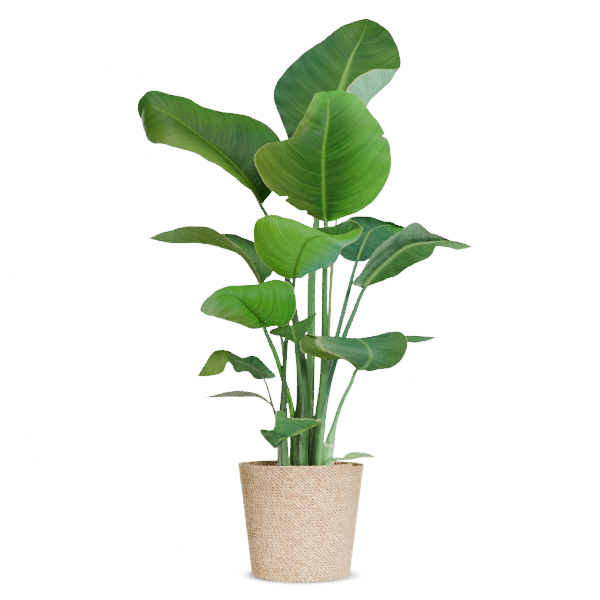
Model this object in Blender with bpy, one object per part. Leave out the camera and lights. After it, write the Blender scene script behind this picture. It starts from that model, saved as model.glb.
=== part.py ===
"""A potted bird of paradise: a clump of leaves in a plastic nursery pot, standing in a seagrass basket.

Metres, +Z up. The origin is on the floor under the basket's centre, and -Y is the front.
Each leaf is a stalk (petiole) that rises from the root crown, and a blade that grows from its end.
"""
import math

import bpy
import numpy as np

# basket, liner, pot and soil
BASKET_HEIGHT = 0.245
BASKET_RIM_RADIUS = 0.140
BASKET_BASE_RADIUS = 0.108
BASKET_WALL = 0.008
BASKET_FLOOR = 0.010
LINER_WALL = 0.001
POT_HEIGHT = 0.212
POT_RIM_RADIUS = 0.119
POT_BASE_RADIUS = 0.088
POT_WALL = 0.002
POT_LIP = 0.003
POT_LIP_DEPTH = 0.012
DRAIN_HOLES = 6
DRAIN_HOLE_RADIUS = 0.006
DRAIN_CIRCLE_RADIUS = 0.055
SOIL_BELOW_RIM = 0.020
CROWN_RADIUS = 0.075
CROWN_FOOT_RADIUS = 0.050
CROWN_DEPTH = 0.060
CROWN_PROUD = 0.002
GAP = 0.0004

POT_FLOOR = BASKET_FLOOR + LINER_WALL + 2 * GAP
POT_RIM = POT_FLOOR + POT_HEIGHT
SOIL_TOP = POT_RIM - SOIL_BELOW_RIM
CROWN_TOP = SOIL_TOP + CROWN_PROUD
FOOT = CROWN_TOP + GAP

# leaves
BLADE_THICKNESS = 0.0016
PETIOLE_SIDES = 8
LATHE_SEGMENTS = 40
STALK_TO_BLADE = 0.005
LARGE_BLADE = 0.25
CAMBER = (0.05, 0.05, 0.05)

# The stalk's radii run from its foot to the blade. The blade is stretched between its midrib and its two
# margins, all from the base of the blade to its tip: left and right are as seen on the upper side with the
# tip up, and leave out the base and tip, which they share with the midrib. A camber says how far each half
# bows towards the upper side, as a part of its width, at the base, the middle and the tip. A half that
# rolls over has, in its place, the curve that runs halfway between the midrib and the margin.
LEAVES = {
    "top": dict(
        radii=(0.012, 0.0105, 0.01, 0.0095, 0.005),
        petiole=[(0.013, 0.045, FOOT), (0.02, 0.052, 0.379), (0.023, 0.06, 0.515),
            (0.025, 0.07, 0.664), (0.035, 0.08, 0.781)],
        midrib=[(0.04, 0.085, 0.875), (0.06, 0.095, 0.985), (0.085, 0.105, 1.095),
            (0.115, 0.115, 1.18), (0.145, 0.135, 1.245), (0.16, 0.17, 1.3)],
        left=[(0, 0.075, 0.915), (-0.04, 0.08, 1.01), (-0.065, 0.09, 1.1), (-0.025, 0.1, 1.165),
            (0.045, 0.115, 1.225), (0.11, 0.135, 1.275)],
        right=[(0.055, 0.04, 0.925), (0.085, 0.04, 1.045), (0.115, 0.045, 1.105), (0.16, 0.065, 1.14),
            (0.235, 0.115, 1.165), (0.235, 0.14, 1.21), (0.205, 0.155, 1.27)],
        right_half=[(0.105, 0.09, 0.96), (0.16, 0.11, 1.075), (0.205, 0.12, 1.135),
            (0.195, 0.125, 1.19), (0.185, 0.14, 1.24)],
        left_camber=(-0.05, 0.06, 0.1),
    ),
    "upper_left": dict(
        radii=(0.0165, 0.0165, 0.012, 0.0085, 0.0065, 0.0045),
        petiole=[(-0.004, 0, FOOT), (-0.002, 0, 0.292), (0.004, 0.005, 0.379), (0, 0.015, 0.457),
            (-0.009, 0.03, 0.536), (-0.034, 0.05, 0.667), (-0.062, 0.06, 0.769)],
        midrib=[(-0.09, 0.065, 0.825), (-0.135, 0.045, 0.895), (-0.22, 0.03, 0.97),
            (-0.305, 0.03, 1.03), (-0.355, 0.05, 1.055), (-0.37, 0.1, 1.025)],
        left=[(-0.12, 0.03, 0.855), (-0.18, -0.02, 0.895), (-0.245, -0.05, 0.925),
            (-0.295, -0.04, 0.94), (-0.34, 0.02, 0.96)],
        right=[(-0.06, 0.085, 0.875), (-0.04, 0.1, 0.935), (-0.05, 0.1, 0.99), (-0.115, 0.1, 1.04),
            (-0.205, 0.09, 1.055), (-0.305, 0.08, 1.09), (-0.365, 0.075, 1.09), (-0.38, 0.08, 1.07),
            (-0.38, 0.09, 1.045)],
        left_camber=(0, 0.06, 0.08),
        right_camber=(0.05, 0.05, 0.05),
    ),
    "front": dict(
        radii=(0.009, 0.0075, 0.0072, 0.007, 0.0055),
        petiole=[(0.026, 0.01, FOOT), (0.038, 0.01, 0.346), (0.047, 0.005, 0.413), (0.051, 0, 0.512),
            (0.053, -0.01, 0.656)],
        midrib=[(0.055, -0.03, 0.77), (0.05, -0.055, 0.85), (0.05, -0.07, 0.925), (0.06, -0.06, 1.005),
            (0.06, -0.03, 1.06), (0.055, 0.03, 1.07)],
        left=[(0.015, -0.04, 0.785), (-0.045, -0.06, 0.82), (-0.085, -0.075, 0.86),
            (-0.1, -0.085, 0.91), (-0.075, -0.085, 0.935), (-0.03, -0.07, 0.945), (0.005, -0.055, 1),
            (0.035, -0.03, 1.06)],
        right=[(0.095, -0.035, 0.78), (0.16, -0.05, 0.815), (0.195, -0.065, 0.875),
            (0.195, -0.065, 0.935), (0.165, -0.06, 0.995), (0.13, -0.045, 1.045), (0.095, -0.02, 1.07)],
        left_camber=(0.03, 0.06, 0.05),
        right_camber=(0.03, 0.05, 0.05),
    ),
    "middle": dict(
        radii=(0.012, 0.01, 0.0055, 0.005, 0.0045),
        petiole=[(-0.037, -0.005, FOOT), (-0.04, -0.008, 0.303), (-0.039, -0.02, 0.369),
            (-0.037, -0.025, 0.434), (-0.033, -0.03, 0.5), (-0.026, -0.045, 0.571)],
        midrib=[(-0.015, -0.065, 0.64), (-0.005, -0.1, 0.685), (0.015, -0.11, 0.72),
            (0.045, -0.105, 0.73), (0.085, -0.09, 0.725), (0.135, -0.05, 0.755)],
        left=[(-0.07, -0.07, 0.665), (-0.1, -0.075, 0.71), (-0.095, -0.08, 0.77),
            (-0.065, -0.075, 0.78), (0, -0.06, 0.76), (0.065, -0.055, 0.76), (0.11, -0.04, 0.775)],
        right=[(0.025, -0.07, 0.655), (0.075, -0.08, 0.675), (0.09, -0.1, 0.705), (0.12, -0.08, 0.725)],
        left_camber=(0.08, 0.08, -0.12),
        right_camber=(0.08, 0.08, 0.03),
    ),
    "left": dict(
        radii=(0.008, 0.006, 0.0045, 0.004, 0.0035),
        petiole=[(-0.038, 0.03, FOOT), (-0.038, 0.03, 0.379), (-0.038, 0.03, 0.469),
            (-0.045, 0.03, 0.525), (-0.063, 0.035, 0.586)],
        midrib=[(-0.09, 0.03, 0.64), (-0.11, 0.02, 0.675), (-0.135, 0.01, 0.705), (-0.175, 0, 0.72),
            (-0.225, 0, 0.73), (-0.29, 0, 0.73), (-0.34, 0, 0.74)],
        left=[(-0.1, -0.01, 0.665), (-0.11, -0.03, 0.685), (-0.14, -0.05, 0.715),
            (-0.175, -0.055, 0.745), (-0.22, -0.05, 0.76), (-0.285, -0.03, 0.755)],
        right=[(-0.065, 0.06, 0.675), (-0.08, 0.08, 0.715), (-0.125, 0.08, 0.75), (-0.175, 0.07, 0.76),
            (-0.24, 0.05, 0.75)],
        left_camber=(0.05, 0.05, 0.05),
        right_camber=(0.1, 0.1, 0.1),
    ),
    "lower_left": dict(
        radii=(0.008, 0.0075, 0.0065, 0.006, 0.0045),
        petiole=[(-0.02, 0.03, FOOT), (-0.018, 0.025, 0.297), (-0.02, 0.01, 0.353),
            (-0.029, 0.004, 0.393), (-0.04, -0.006, 0.428), (-0.055, -0.035, 0.476)],
        midrib=[(-0.08, -0.08, 0.535), (-0.09, -0.1, 0.555), (-0.11, -0.115, 0.57),
            (-0.13, -0.125, 0.59), (-0.15, -0.13, 0.6), (-0.185, -0.155, 0.59), (-0.21, -0.17, 0.565)],
        left=[(-0.1, -0.1, 0.53), (-0.135, -0.14, 0.54), (-0.175, -0.17, 0.55), (-0.195, -0.18, 0.555)],
        right=[(-0.06, -0.09, 0.535), (-0.03, -0.1, 0.54), (-0.01, -0.105, 0.58), (-0.02, -0.1, 0.625),
            (-0.05, -0.085, 0.64), (-0.095, -0.08, 0.63), (-0.14, -0.09, 0.625), (-0.18, -0.12, 0.61),
            (-0.205, -0.15, 0.585)],
        left_camber=(0.06, 0.06, 0.06),
        right_camber=(0.06, 0.06, 0.06),
    ),
    "back_right": dict(
        radii=(0.008, 0.0065, 0.006, 0.006, 0.0045),
        petiole=[(0.036, 0.05, FOOT), (0.045, 0.055, 0.334), (0.059, 0.07, 0.424),
            (0.076, 0.085, 0.498), (0.097, 0.1, 0.579)],
        midrib=[(0.13, 0.12, 0.7), (0.145, 0.125, 0.74), (0.16, 0.14, 0.77), (0.19, 0.17, 0.79),
            (0.23, 0.2, 0.795), (0.265, 0.22, 0.79)],
        left=[(0.145, 0.12, 0.7), (0.18, 0.12, 0.725), (0.205, 0.13, 0.75), (0.23, 0.16, 0.77),
            (0.25, 0.19, 0.78)],
        right=[(0.105, 0.12, 0.705), (0.08, 0.12, 0.735), (0.085, 0.115, 0.775), (0.115, 0.12, 0.805),
            (0.15, 0.13, 0.81), (0.19, 0.16, 0.805), (0.235, 0.19, 0.8)],
        left_camber=(0.03, 0.03, 0.03),
        right_camber=(0.03, 0.03, 0.03),
    ),
    "right": dict(
        radii=(0.009, 0.0075, 0.007, 0.0068, 0.005),
        petiole=[(0.042, 0.03, FOOT), (0.049, 0.035, 0.335), (0.065, 0.048, 0.424),
            (0.091, 0.06, 0.506), (0.121, 0.075, 0.579)],
        midrib=[(0.145, 0.085, 0.635), (0.195, 0.085, 0.69), (0.25, 0.085, 0.73), (0.305, 0.09, 0.74),
            (0.345, 0.1, 0.745), (0.4, 0.12, 0.735)],
        left=[(0.175, 0.08, 0.645), (0.215, 0.065, 0.66), (0.255, 0.055, 0.685), (0.295, 0.06, 0.705),
            (0.315, 0.08, 0.73), (0.365, 0.1, 0.725)],
        right=[(0.12, 0.07, 0.64), (0.14, 0.04, 0.675), (0.17, 0.01, 0.715), (0.205, 0.01, 0.745),
            (0.24, 0.03, 0.77), (0.26, 0.05, 0.785), (0.295, 0.07, 0.765), (0.34, 0.09, 0.75),
            (0.375, 0.11, 0.745)],
        right_half=[(0.13, 0.1, 0.645), (0.16, 0.11, 0.69), (0.205, 0.115, 0.73), (0.24, 0.105, 0.76),
            (0.275, 0.1, 0.765), (0.32, 0.1, 0.755), (0.36, 0.115, 0.745)],
        left_camber=(0.06, 0.06, 0.06),
    ),
    "lower_right": dict(
        radii=(0.0125, 0.0115, 0.0055, 0.005, 0.0045),
        petiole=[(0.057, -0.01, FOOT), (0.064, -0.01, 0.286), (0.075, -0.01, 0.331),
            (0.09, -0.01, 0.375), (0.111, 0, 0.417)],
        midrib=[(0.125, 0.01, 0.445), (0.145, -0.01, 0.455), (0.155, -0.02, 0.475),
            (0.15, -0.01, 0.495), (0.13, 0.02, 0.515), (0.16, 0.07, 0.52), (0.235, 0.12, 0.52),
            (0.32, 0.14, 0.525)],
        left=[(0.09, -0.01, 0.465), (0.035, -0.04, 0.47), (0, -0.06, 0.49), (0, -0.05, 0.52),
            (0.045, -0.025, 0.51), (0.075, 0.01, 0.505), (0.1, 0.035, 0.5), (0.14, 0.08, 0.515),
            (0.235, 0.14, 0.53)],
        right=[(0.165, 0, 0.445), (0.2, -0.01, 0.45), (0.22, -0.02, 0.465), (0.235, -0.02, 0.5),
            (0.225, 0.01, 0.53), (0.2, 0.05, 0.53), (0.22, 0.085, 0.52), (0.265, 0.12, 0.51)],
        left_camber=(0, 0, 0),
        right_camber=(0.08, 0.06, 0),
    ),
    "small_centre": dict(
        radii=(0.005, 0.005, 0.005, 0.0045, 0.004),
        petiole=[(-0.002, -0.025, FOOT), (0, -0.026, 0.304), (0.004, -0.03, 0.369), (0, -0.03, 0.412),
            (-0.007, -0.04, 0.462)],
        midrib=[(-0.01, -0.05, 0.5), (-0.015, -0.07, 0.52), (-0.02, -0.08, 0.54), (-0.025, -0.06, 0.53)],
        left=[(-0.04, -0.06, 0.515), (-0.07, -0.065, 0.525), (-0.065, -0.065, 0.535),
            (-0.045, -0.06, 0.535)],
        right=[(0.005, -0.065, 0.515), (0.025, -0.08, 0.545), (0.035, -0.08, 0.57), (0.01, -0.065, 0.55)],
        left_camber=(0.05, 0.05, 0.05),
        right_camber=(0.05, 0.05, 0.05),
    ),
    "left_small": dict(
        radii=(0.004, 0.0035, 0.003, 0.0025),
        petiole=[(-0.05, -0.03, FOOT), (-0.05, -0.03, 0.293), (-0.054, -0.03, 0.336),
            (-0.065, -0.035, 0.378)],
        midrib=[(-0.08, -0.04, 0.425), (-0.095, -0.045, 0.445), (-0.115, -0.05, 0.455),
            (-0.14, -0.06, 0.465), (-0.16, -0.07, 0.475), (-0.19, -0.09, 0.455), (-0.22, -0.1, 0.43)],
        left=[(-0.1, -0.05, 0.425), (-0.115, -0.065, 0.44), (-0.14, -0.08, 0.44),
            (-0.155, -0.085, 0.46), (-0.165, -0.1, 0.44), (-0.195, -0.105, 0.43)],
        right=[(-0.055, -0.03, 0.43), (-0.07, -0.02, 0.45), (-0.1, -0.02, 0.475),
            (-0.125, -0.035, 0.47), (-0.16, -0.055, 0.49), (-0.185, -0.07, 0.485),
            (-0.205, -0.085, 0.46)],
        left_camber=(0, 0, 0.05),
        right_camber=(0, 0, 0.05),
    ),
    "left_thin": dict(
        radii=(0.004, 0.0035, 0.0025),
        petiole=[(-0.049, 0.012, FOOT), (-0.051, 0.015, 0.313), (-0.058, 0.02, 0.355)],
        midrib=[(-0.07, 0.02, 0.375), (-0.1, 0.02, 0.39), (-0.135, 0.02, 0.395), (-0.175, 0.02, 0.39),
            (-0.215, 0.02, 0.385)],
        left=[(-0.1, 0, 0.385), (-0.14, -0.01, 0.385), (-0.175, 0, 0.385)],
        right=[(-0.1, 0.04, 0.395), (-0.135, 0.05, 0.4), (-0.175, 0.04, 0.395)],
    ),
    "base_left": dict(
        radii=(0.0078, 0.0078, 0.0075),
        petiole=[(0.035, -0.03, FOOT), (0.041, -0.04, 0.287)],
        midrib=[(0.045, -0.045, 0.33), (0.01, -0.06, 0.315), (-0.025, -0.075, 0.3),
            (-0.045, -0.08, 0.295), (-0.055, -0.075, 0.275)],
        left=[(0, -0.055, 0.31), (-0.035, -0.065, 0.295), (-0.045, -0.07, 0.285)],
        right=[(0.02, -0.065, 0.34), (-0.005, -0.075, 0.34), (-0.03, -0.085, 0.345),
            (-0.05, -0.09, 0.36), (-0.055, -0.095, 0.34), (-0.06, -0.095, 0.32), (-0.085, -0.09, 0.32)],
    ),
    "base_right": dict(
        radii=(0.004, 0.004, 0.0035),
        petiole=[(0.045, -0.047, FOOT), (0.065, -0.045, 0.251)],
        midrib=[(0.09, -0.035, 0.255), (0.11, -0.03, 0.255), (0.135, -0.03, 0.26), (0.165, -0.03, 0.255)],
        left=[(0.105, -0.015, 0.265), (0.14, -0.015, 0.265)],
        right=[(0.11, -0.045, 0.255), (0.135, -0.045, 0.255)],
    ),
}

# the youngest leaf, still rolled up
SPEAR = [(0.027, 0.03, FOOT), (0.039, 0.028, 0.335), (0.054, 0.03, 0.413), (0.061, 0.03, 0.513),
    (0.068, 0.035, 0.649), (0.08, 0.05, 0.783), (0.085, 0.05, 0.857)]
SPEAR_RADII = (0.003, 0.0035, 0.004, 0.0045, 0.0015)

MATERIALS = {
    # name: (colour, roughness)
    "seagrass": ((0.56, 0.41, 0.26), 0.85),
    "liner_film": ((0.62, 0.60, 0.55), 0.35),
    "pot_plastic": ((0.03, 0.03, 0.03), 0.5),
    "soil": ((0.05, 0.035, 0.025), 0.95),
    "root_crown": ((0.22, 0.20, 0.11), 0.8),
    "blade": ((0.10, 0.30, 0.05), 0.38),
    "petiole": ((0.14, 0.33, 0.13), 0.45),
    "young_leaf": ((0.30, 0.50, 0.20), 0.4),
}


def make_material(name):
    colour, roughness = MATERIALS[name]
    material = bpy.data.materials.new(name)
    material.use_nodes = True
    shader = material.node_tree.nodes["Principled BSDF"]
    shader.inputs["Base Color"].default_value = (*colour, 1.0)
    shader.inputs["Roughness"].default_value = roughness
    return material


def add_object(name, points, faces, material):
    mesh = bpy.data.meshes.new(name)
    mesh.from_pydata([tuple(p) for p in points], [], faces)
    mesh.materials.append(material)
    mesh.shade_smooth()
    mesh.set_sharp_from_angle(angle=math.radians(40))
    obj = bpy.data.objects.new(name, mesh)
    bpy.context.scene.collection.objects.link(obj)
    return obj


def unit(vectors):
    return vectors / np.linalg.norm(vectors, axis=-1, keepdims=True)


def smooth_curve(points, at):
    """The cubic Hermite curve through the points, at places from 0 to 1 of its chord length.

    The slope at an inner point is that of the parabola through it and its two neighbours.
    """
    points = np.array(points, float)
    lengths = np.linalg.norm(np.diff(points, axis=0), axis=1)
    knots = np.concatenate([[0], np.cumsum(lengths)])
    chords = np.diff(points, axis=0) / lengths[:, None]
    slopes = np.empty_like(points)
    before, after = lengths[:-1, None], lengths[1:, None]
    slopes[1:-1] = (chords[:-1] * after + chords[1:] * before) / (before + after)
    slopes[0] = 2 * chords[0] - slopes[1] if len(points) > 2 else chords[0]
    slopes[-1] = 2 * chords[-1] - slopes[-2] if len(points) > 2 else chords[-1]
    x = np.clip(at, 0, 1) * knots[-1]
    i = np.clip(np.searchsorted(knots, x, side="right") - 1, 0, len(lengths) - 1)
    h = lengths[i][:, None]
    f = (x - knots[i])[:, None] / h
    return (
        (1 + 2 * f) * (1 - f) ** 2 * points[i]
        + f * (1 - f) ** 2 * h * slopes[i]
        + f**2 * (3 - 2 * f) * points[i + 1]
        + f**2 * (f - 1) * h * slopes[i + 1]
    )


def ease(values, at):
    """Values spaced evenly over 0 to 1, joined by smooth steps."""
    values = np.array(values, float)
    x = np.clip(at, 0, 1) * (len(values) - 1)
    i = np.clip(x.astype(int), 0, len(values) - 2)
    f = x - i
    f = f * f * (3 - 2 * f)
    return values[i] * (1 - f) + values[i + 1] * f


def lathe(name, profile, material):
    """Turns a profile of (radius, z) points about Z: from the axis, out and up the outside, and back in."""
    turns = np.linspace(0, 2 * math.pi, LATHE_SEGMENTS, endpoint=False)
    points, rings = [], []
    for radius, z in profile:
        if radius == 0:
            rings.append([len(points)] * LATHE_SEGMENTS)
            points.append((0, 0, z))
        else:
            rings.append(list(range(len(points), len(points) + LATHE_SEGMENTS)))
            points += [(radius * math.cos(a), radius * math.sin(a), z) for a in turns]
    faces = []
    for low, high in zip(rings, rings[1:]):
        for a in range(LATHE_SEGMENTS):
            b = (a + 1) % LATHE_SEGMENTS
            corners = [low[a], low[b], high[b], high[a]]
            faces.append(list(dict.fromkeys(corners)))
    return add_object(name, points, faces, material)


def basket_radius(z):
    """The basket's outer radius at a height: a straight taper, rounded in at the foot."""
    straight = BASKET_BASE_RADIUS + (BASKET_RIM_RADIUS - BASKET_BASE_RADIUS) * z / BASKET_HEIGHT
    edge = 0.014
    drop = max(0.0, edge - z)
    return straight - edge + math.sqrt(edge**2 - drop**2)


def add_basket(material):
    foot = [(basket_radius(z), z) for z in (0, 0.002, 0.006, 0.014)]
    top = BASKET_HEIGHT
    rim = [
        (basket_radius(top) - 0.001, top - 0.003),
        (basket_radius(top) - BASKET_WALL / 2, top),
        (basket_radius(top) - BASKET_WALL + 0.001, top - 0.003),
    ]
    inner_foot = basket_radius(BASKET_FLOOR + 0.010) - BASKET_WALL
    inside = [(inner_foot, BASKET_FLOOR + 0.010), (inner_foot - 0.008, BASKET_FLOOR), (0, BASKET_FLOOR)]
    lathe("basket", [(0, 0), *foot, *rim, *inside], material)


def add_liner(material):
    """A cup of film that lies against the basket's inside and ends just below its rim."""
    floor = BASKET_FLOOR + GAP
    bend = BASKET_FLOOR + 0.010
    rim = BASKET_HEIGHT - 0.012
    outside = [
        (basket_radius(bend) - BASKET_WALL - 0.009, floor),
        (basket_radius(bend) - BASKET_WALL - 0.001, bend),
        (basket_radius(rim) - BASKET_WALL - 0.001, rim),
    ]
    inside = [(r - LINER_WALL, max(z, floor + LINER_WALL)) for r, z in reversed(outside)]
    lathe("basket_liner", [(0, floor), *outside, *inside, (0, floor + LINER_WALL)], material)


def pot_radius(z):
    """The pot's outer radius at a height."""
    return POT_BASE_RADIUS + (POT_RIM_RADIUS - POT_BASE_RADIUS) * (z - POT_FLOOR) / POT_HEIGHT


def add_nursery_pot(material):
    lip_foot = POT_RIM - POT_LIP_DEPTH
    profile = [
        (0, POT_FLOOR),
        (POT_BASE_RADIUS, POT_FLOOR),
        (pot_radius(lip_foot), lip_foot),
        (pot_radius(lip_foot) + POT_LIP, lip_foot),
        (POT_RIM_RADIUS + POT_LIP, POT_RIM),
        (POT_RIM_RADIUS - POT_WALL, POT_RIM),
        (POT_BASE_RADIUS - POT_WALL, POT_FLOOR + POT_WALL),
        (0, POT_FLOOR + POT_WALL),
    ]
    pot = lathe("nursery_pot", profile, material)
    for k in range(DRAIN_HOLES):
        turn = 2 * math.pi * (k + 0.3) / DRAIN_HOLES
        bpy.ops.mesh.primitive_cylinder_add(
            vertices=12,
            radius=DRAIN_HOLE_RADIUS,
            depth=4 * POT_WALL,
            location=(
                DRAIN_CIRCLE_RADIUS * math.cos(turn),
                DRAIN_CIRCLE_RADIUS * math.sin(turn),
                POT_FLOOR + POT_WALL / 2,
            ),
        )
        cutter = bpy.context.object
        cutter.name = f"drain_cutter_{k}"
        cutter.hide_render = True
        cutter.display_type = "WIRE"
        cut = pot.modifiers.new(f"drain_{k}", "BOOLEAN")
        cut.operation = "DIFFERENCE"
        cut.object = cutter


def add_soil(material):
    """The potting mix fills the pot to below its rim, with a pocket that the root crown sits in."""
    floor = POT_FLOOR + POT_WALL + GAP
    clear = POT_WALL + GAP
    pocket = CROWN_TOP - CROWN_DEPTH
    profile = [
        (0, floor),
        (pot_radius(floor) - clear - 0.001, floor),
        (pot_radius(SOIL_TOP) - clear - 0.001, SOIL_TOP),
        (CROWN_RADIUS + GAP, SOIL_TOP),
        (CROWN_FOOT_RADIUS + GAP, pocket - GAP),
        (0, pocket - GAP),
    ]
    lathe("soil", profile, material)


def add_root_crown(material):
    profile = [
        (0, CROWN_TOP - CROWN_DEPTH),
        (CROWN_FOOT_RADIUS, CROWN_TOP - CROWN_DEPTH),
        (CROWN_RADIUS - 0.001, SOIL_TOP - 0.001),
        (CROWN_RADIUS - 0.004, CROWN_TOP),
        (0, CROWN_TOP),
    ]
    lathe("root_crown", profile, material)


def add_stalk(name, points, radii, rings, material):
    """A tube of easing radius along a smooth curve. Its first ring lies flat on the crown."""
    at = np.linspace(0, 1, rings)
    centres = smooth_curve(points, at)
    tangents = unit(np.gradient(centres, axis=0))
    across = unit(np.cross(tangents, (0.0, 1.0, 0.0)))
    depth = np.cross(across, tangents)
    turns = np.linspace(0, 2 * math.pi, PETIOLE_SIDES, endpoint=False)
    ring = across[:, None] * np.cos(turns)[:, None] + depth[:, None] * np.sin(turns)[:, None]
    tube = centres[:, None] + ease(radii, at)[:, None, None] * ring
    tube[0, :, 2] = points[0][2]
    faces = []
    for k in range(rings - 1):
        for a in range(PETIOLE_SIDES):
            b = (a + 1) % PETIOLE_SIDES
            low, high = k * PETIOLE_SIDES, (k + 1) * PETIOLE_SIDES
            faces.append([low + a, high + a, high + b, low + b])
    faces.append(list(range(PETIOLE_SIDES)))
    faces.append(list(range((rings - 1) * PETIOLE_SIDES, rings * PETIOLE_SIDES))[::-1])
    return add_object(name, tube.reshape(-1, 3), faces, material)


def blade_half(leaf, side, at, columns):
    """One half of a blade, a row for each place along the midrib and a column from the midrib outwards.

    Each row is the parabola through the midrib, the halfway curve and the margin.
    """
    sign = 1 if side == "right" else -1
    base, tip = leaf["midrib"][0], leaf["midrib"][-1]
    midrib = smooth_curve(leaf["midrib"], at)
    margin = smooth_curve([base, *leaf[side], tip], at)
    across = margin - midrib
    if f"{side}_half" in leaf:
        halfway = smooth_curve([base, *leaf[f"{side}_half"], tip], at)
    else:
        upwards = unit(np.cross(sign * across, unit(np.gradient(midrib, axis=0))))
        bow = ease(leaf.get(f"{side}_camber", CAMBER), at)[:, None]
        halfway = (midrib + margin) / 2 + upwards * bow * np.linalg.norm(across, axis=1, keepdims=True)
    t = np.linspace(0, 1, columns)[None, :, None]
    return (
        (1 - t) * (1 - 2 * t) * midrib[:, None]
        + 4 * t * (1 - t) * halfway[:, None]
        + t * (2 * t - 1) * margin[:, None]
    )


def add_blade(name, leaf, material):
    """A thin closed sheet: the blade's grid, offset half its thickness each way, with its edges joined.

    Both sides are cut into the same triangles, so the sheet keeps its thickness where it twists.
    """
    midrib = smooth_curve(leaf["midrib"], np.linspace(0, 1, 40))
    length = np.linalg.norm(np.diff(midrib, axis=0), axis=1).sum()
    rows, columns = (18, 5) if length > LARGE_BLADE else (13, 4)
    start = STALK_TO_BLADE / length
    at = np.linspace(start, 1 - start, rows)
    left = blade_half(leaf, "left", at, columns)
    right = blade_half(leaf, "right", at, columns)
    grid = np.concatenate([left[:, :0:-1], right], axis=1)
    width = grid.shape[1]
    normals = unit(np.cross(np.gradient(grid, axis=1), np.gradient(grid, axis=0)))
    upper = grid + normals * BLADE_THICKNESS / 2
    lower = grid - normals * BLADE_THICKNESS / 2
    points = np.concatenate([upper.reshape(-1, 3), lower.reshape(-1, 3)])
    under = rows * width
    faces = []
    for row in range(rows - 1):
        for column in range(width - 1):
            a = row * width + column
            for corners in ([a, a + 1, a + 1 + width], [a, a + 1 + width, a + width]):
                faces.append(corners)
                faces.append([under + c for c in reversed(corners)])
    edge = list(range(width))
    edge += [row * width + width - 1 for row in range(1, rows)]
    edge += [(rows - 1) * width + column for column in range(width - 2, -1, -1)]
    edge += [row * width for row in range(rows - 2, 0, -1)]
    for a, b in zip(edge, edge[1:] + edge[:1]):
        faces.append([b, a, under + a, under + b])
    return add_object(name, points, faces, material)


def add_leaf(name, leaf, materials):
    """The stalk stops just short of the blade, so that the two don't touch."""
    base = np.array(leaf["midrib"][0])
    last = np.array(leaf["petiole"][-1])
    end = base - unit(base - last) * STALK_TO_BLADE
    rings = 12 if len(leaf["petiole"]) > 3 else 8
    add_stalk(f"petiole_{name}", [*leaf["petiole"], end], leaf["radii"], rings, materials["petiole"])
    add_blade(f"blade_{name}", leaf, materials["blade"])


def main():
    for obj in list(bpy.data.objects):
        bpy.data.objects.remove(obj)
    materials = {name: make_material(name) for name in MATERIALS}
    add_basket(materials["seagrass"])
    add_liner(materials["liner_film"])
    add_nursery_pot(materials["pot_plastic"])
    add_soil(materials["soil"])
    add_root_crown(materials["root_crown"])
    for name, leaf in LEAVES.items():
        add_leaf(name, leaf, materials)
    add_stalk("new_leaf_spear", SPEAR, SPEAR_RADII, 16, materials["young_leaf"])


main()
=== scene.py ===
"""The looks of a potted bird of paradise: fine leaves and stalks in a coiled seagrass basket.

Metres, +Z up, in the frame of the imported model. Every surface is worked out with numpy on a grid of two
parameters. Each leaf is stretched between the same curves as its solid, then gets its side veins, pleats,
midrib, torn margins and thickness. The basket is one twisted cord of three strands, wound from the middle
of the floor out and up to the rim.
"""

import logging
import math
from dataclasses import dataclass
from enum import Enum

import bpy
import numpy as np
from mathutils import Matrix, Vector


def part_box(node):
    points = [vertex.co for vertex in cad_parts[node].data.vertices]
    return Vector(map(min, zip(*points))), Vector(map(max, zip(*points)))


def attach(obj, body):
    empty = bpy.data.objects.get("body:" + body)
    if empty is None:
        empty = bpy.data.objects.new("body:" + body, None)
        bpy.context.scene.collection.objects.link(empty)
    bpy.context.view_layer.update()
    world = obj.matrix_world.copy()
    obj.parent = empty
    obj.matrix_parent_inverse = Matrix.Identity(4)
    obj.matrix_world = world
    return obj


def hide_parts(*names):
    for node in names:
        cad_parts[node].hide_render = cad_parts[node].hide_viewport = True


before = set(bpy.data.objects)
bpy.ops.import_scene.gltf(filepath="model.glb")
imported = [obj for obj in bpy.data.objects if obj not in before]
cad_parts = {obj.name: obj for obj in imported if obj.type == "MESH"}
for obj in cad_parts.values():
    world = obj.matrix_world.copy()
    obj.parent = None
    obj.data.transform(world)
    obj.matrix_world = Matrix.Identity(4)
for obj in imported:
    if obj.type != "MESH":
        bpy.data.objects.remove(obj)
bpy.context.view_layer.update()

LOG = logging.getLogger("bird_of_paradise")
BODY = "root"
MM = 0.001

Points = tuple[tuple[float, float, float], ...]
Colour = tuple[float, float, float]

# the stalks stand just clear of the root crown's top
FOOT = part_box("root_crown")[1].z + 0.4 * MM


class Slot(Enum):
    """Kinds of material: names only, of which the soil and the crown choose the earth's colours."""

    SEAGRASS = "seagrass"
    LINER = "liner_film"
    SOIL = "soil"
    CROWN = "root_crown"
    BLADE = "blade"
    STALK = "petiole"
    YOUNG = "young_leaf"


class Side(Enum):
    """The halves of a blade, as seen on its upper side with the tip up."""

    LEFT = -1
    RIGHT = 1


def display(red: int, green: int, blue: int) -> Colour:
    """Turns a display colour of 0 to 255 into a linear one.

    Args:
        red: Display red.
        green: Display green.
        blue: Display blue.

    Returns:
        The linear colour: each part raised to 2.2.
    """
    return tuple((part / 255) ** 2.2 for part in (red, green, blue))


# ---------------------------------------------------------------- curves and noise


def unit(vectors: np.ndarray) -> np.ndarray:
    """Scales vectors to length 1.

    Args:
        vectors: An array whose last axis holds x, y and z.

    Returns:
        The vectors divided by their lengths.
    """
    return vectors / np.maximum(np.linalg.norm(vectors, axis=-1, keepdims=True), 1e-12)


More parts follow.
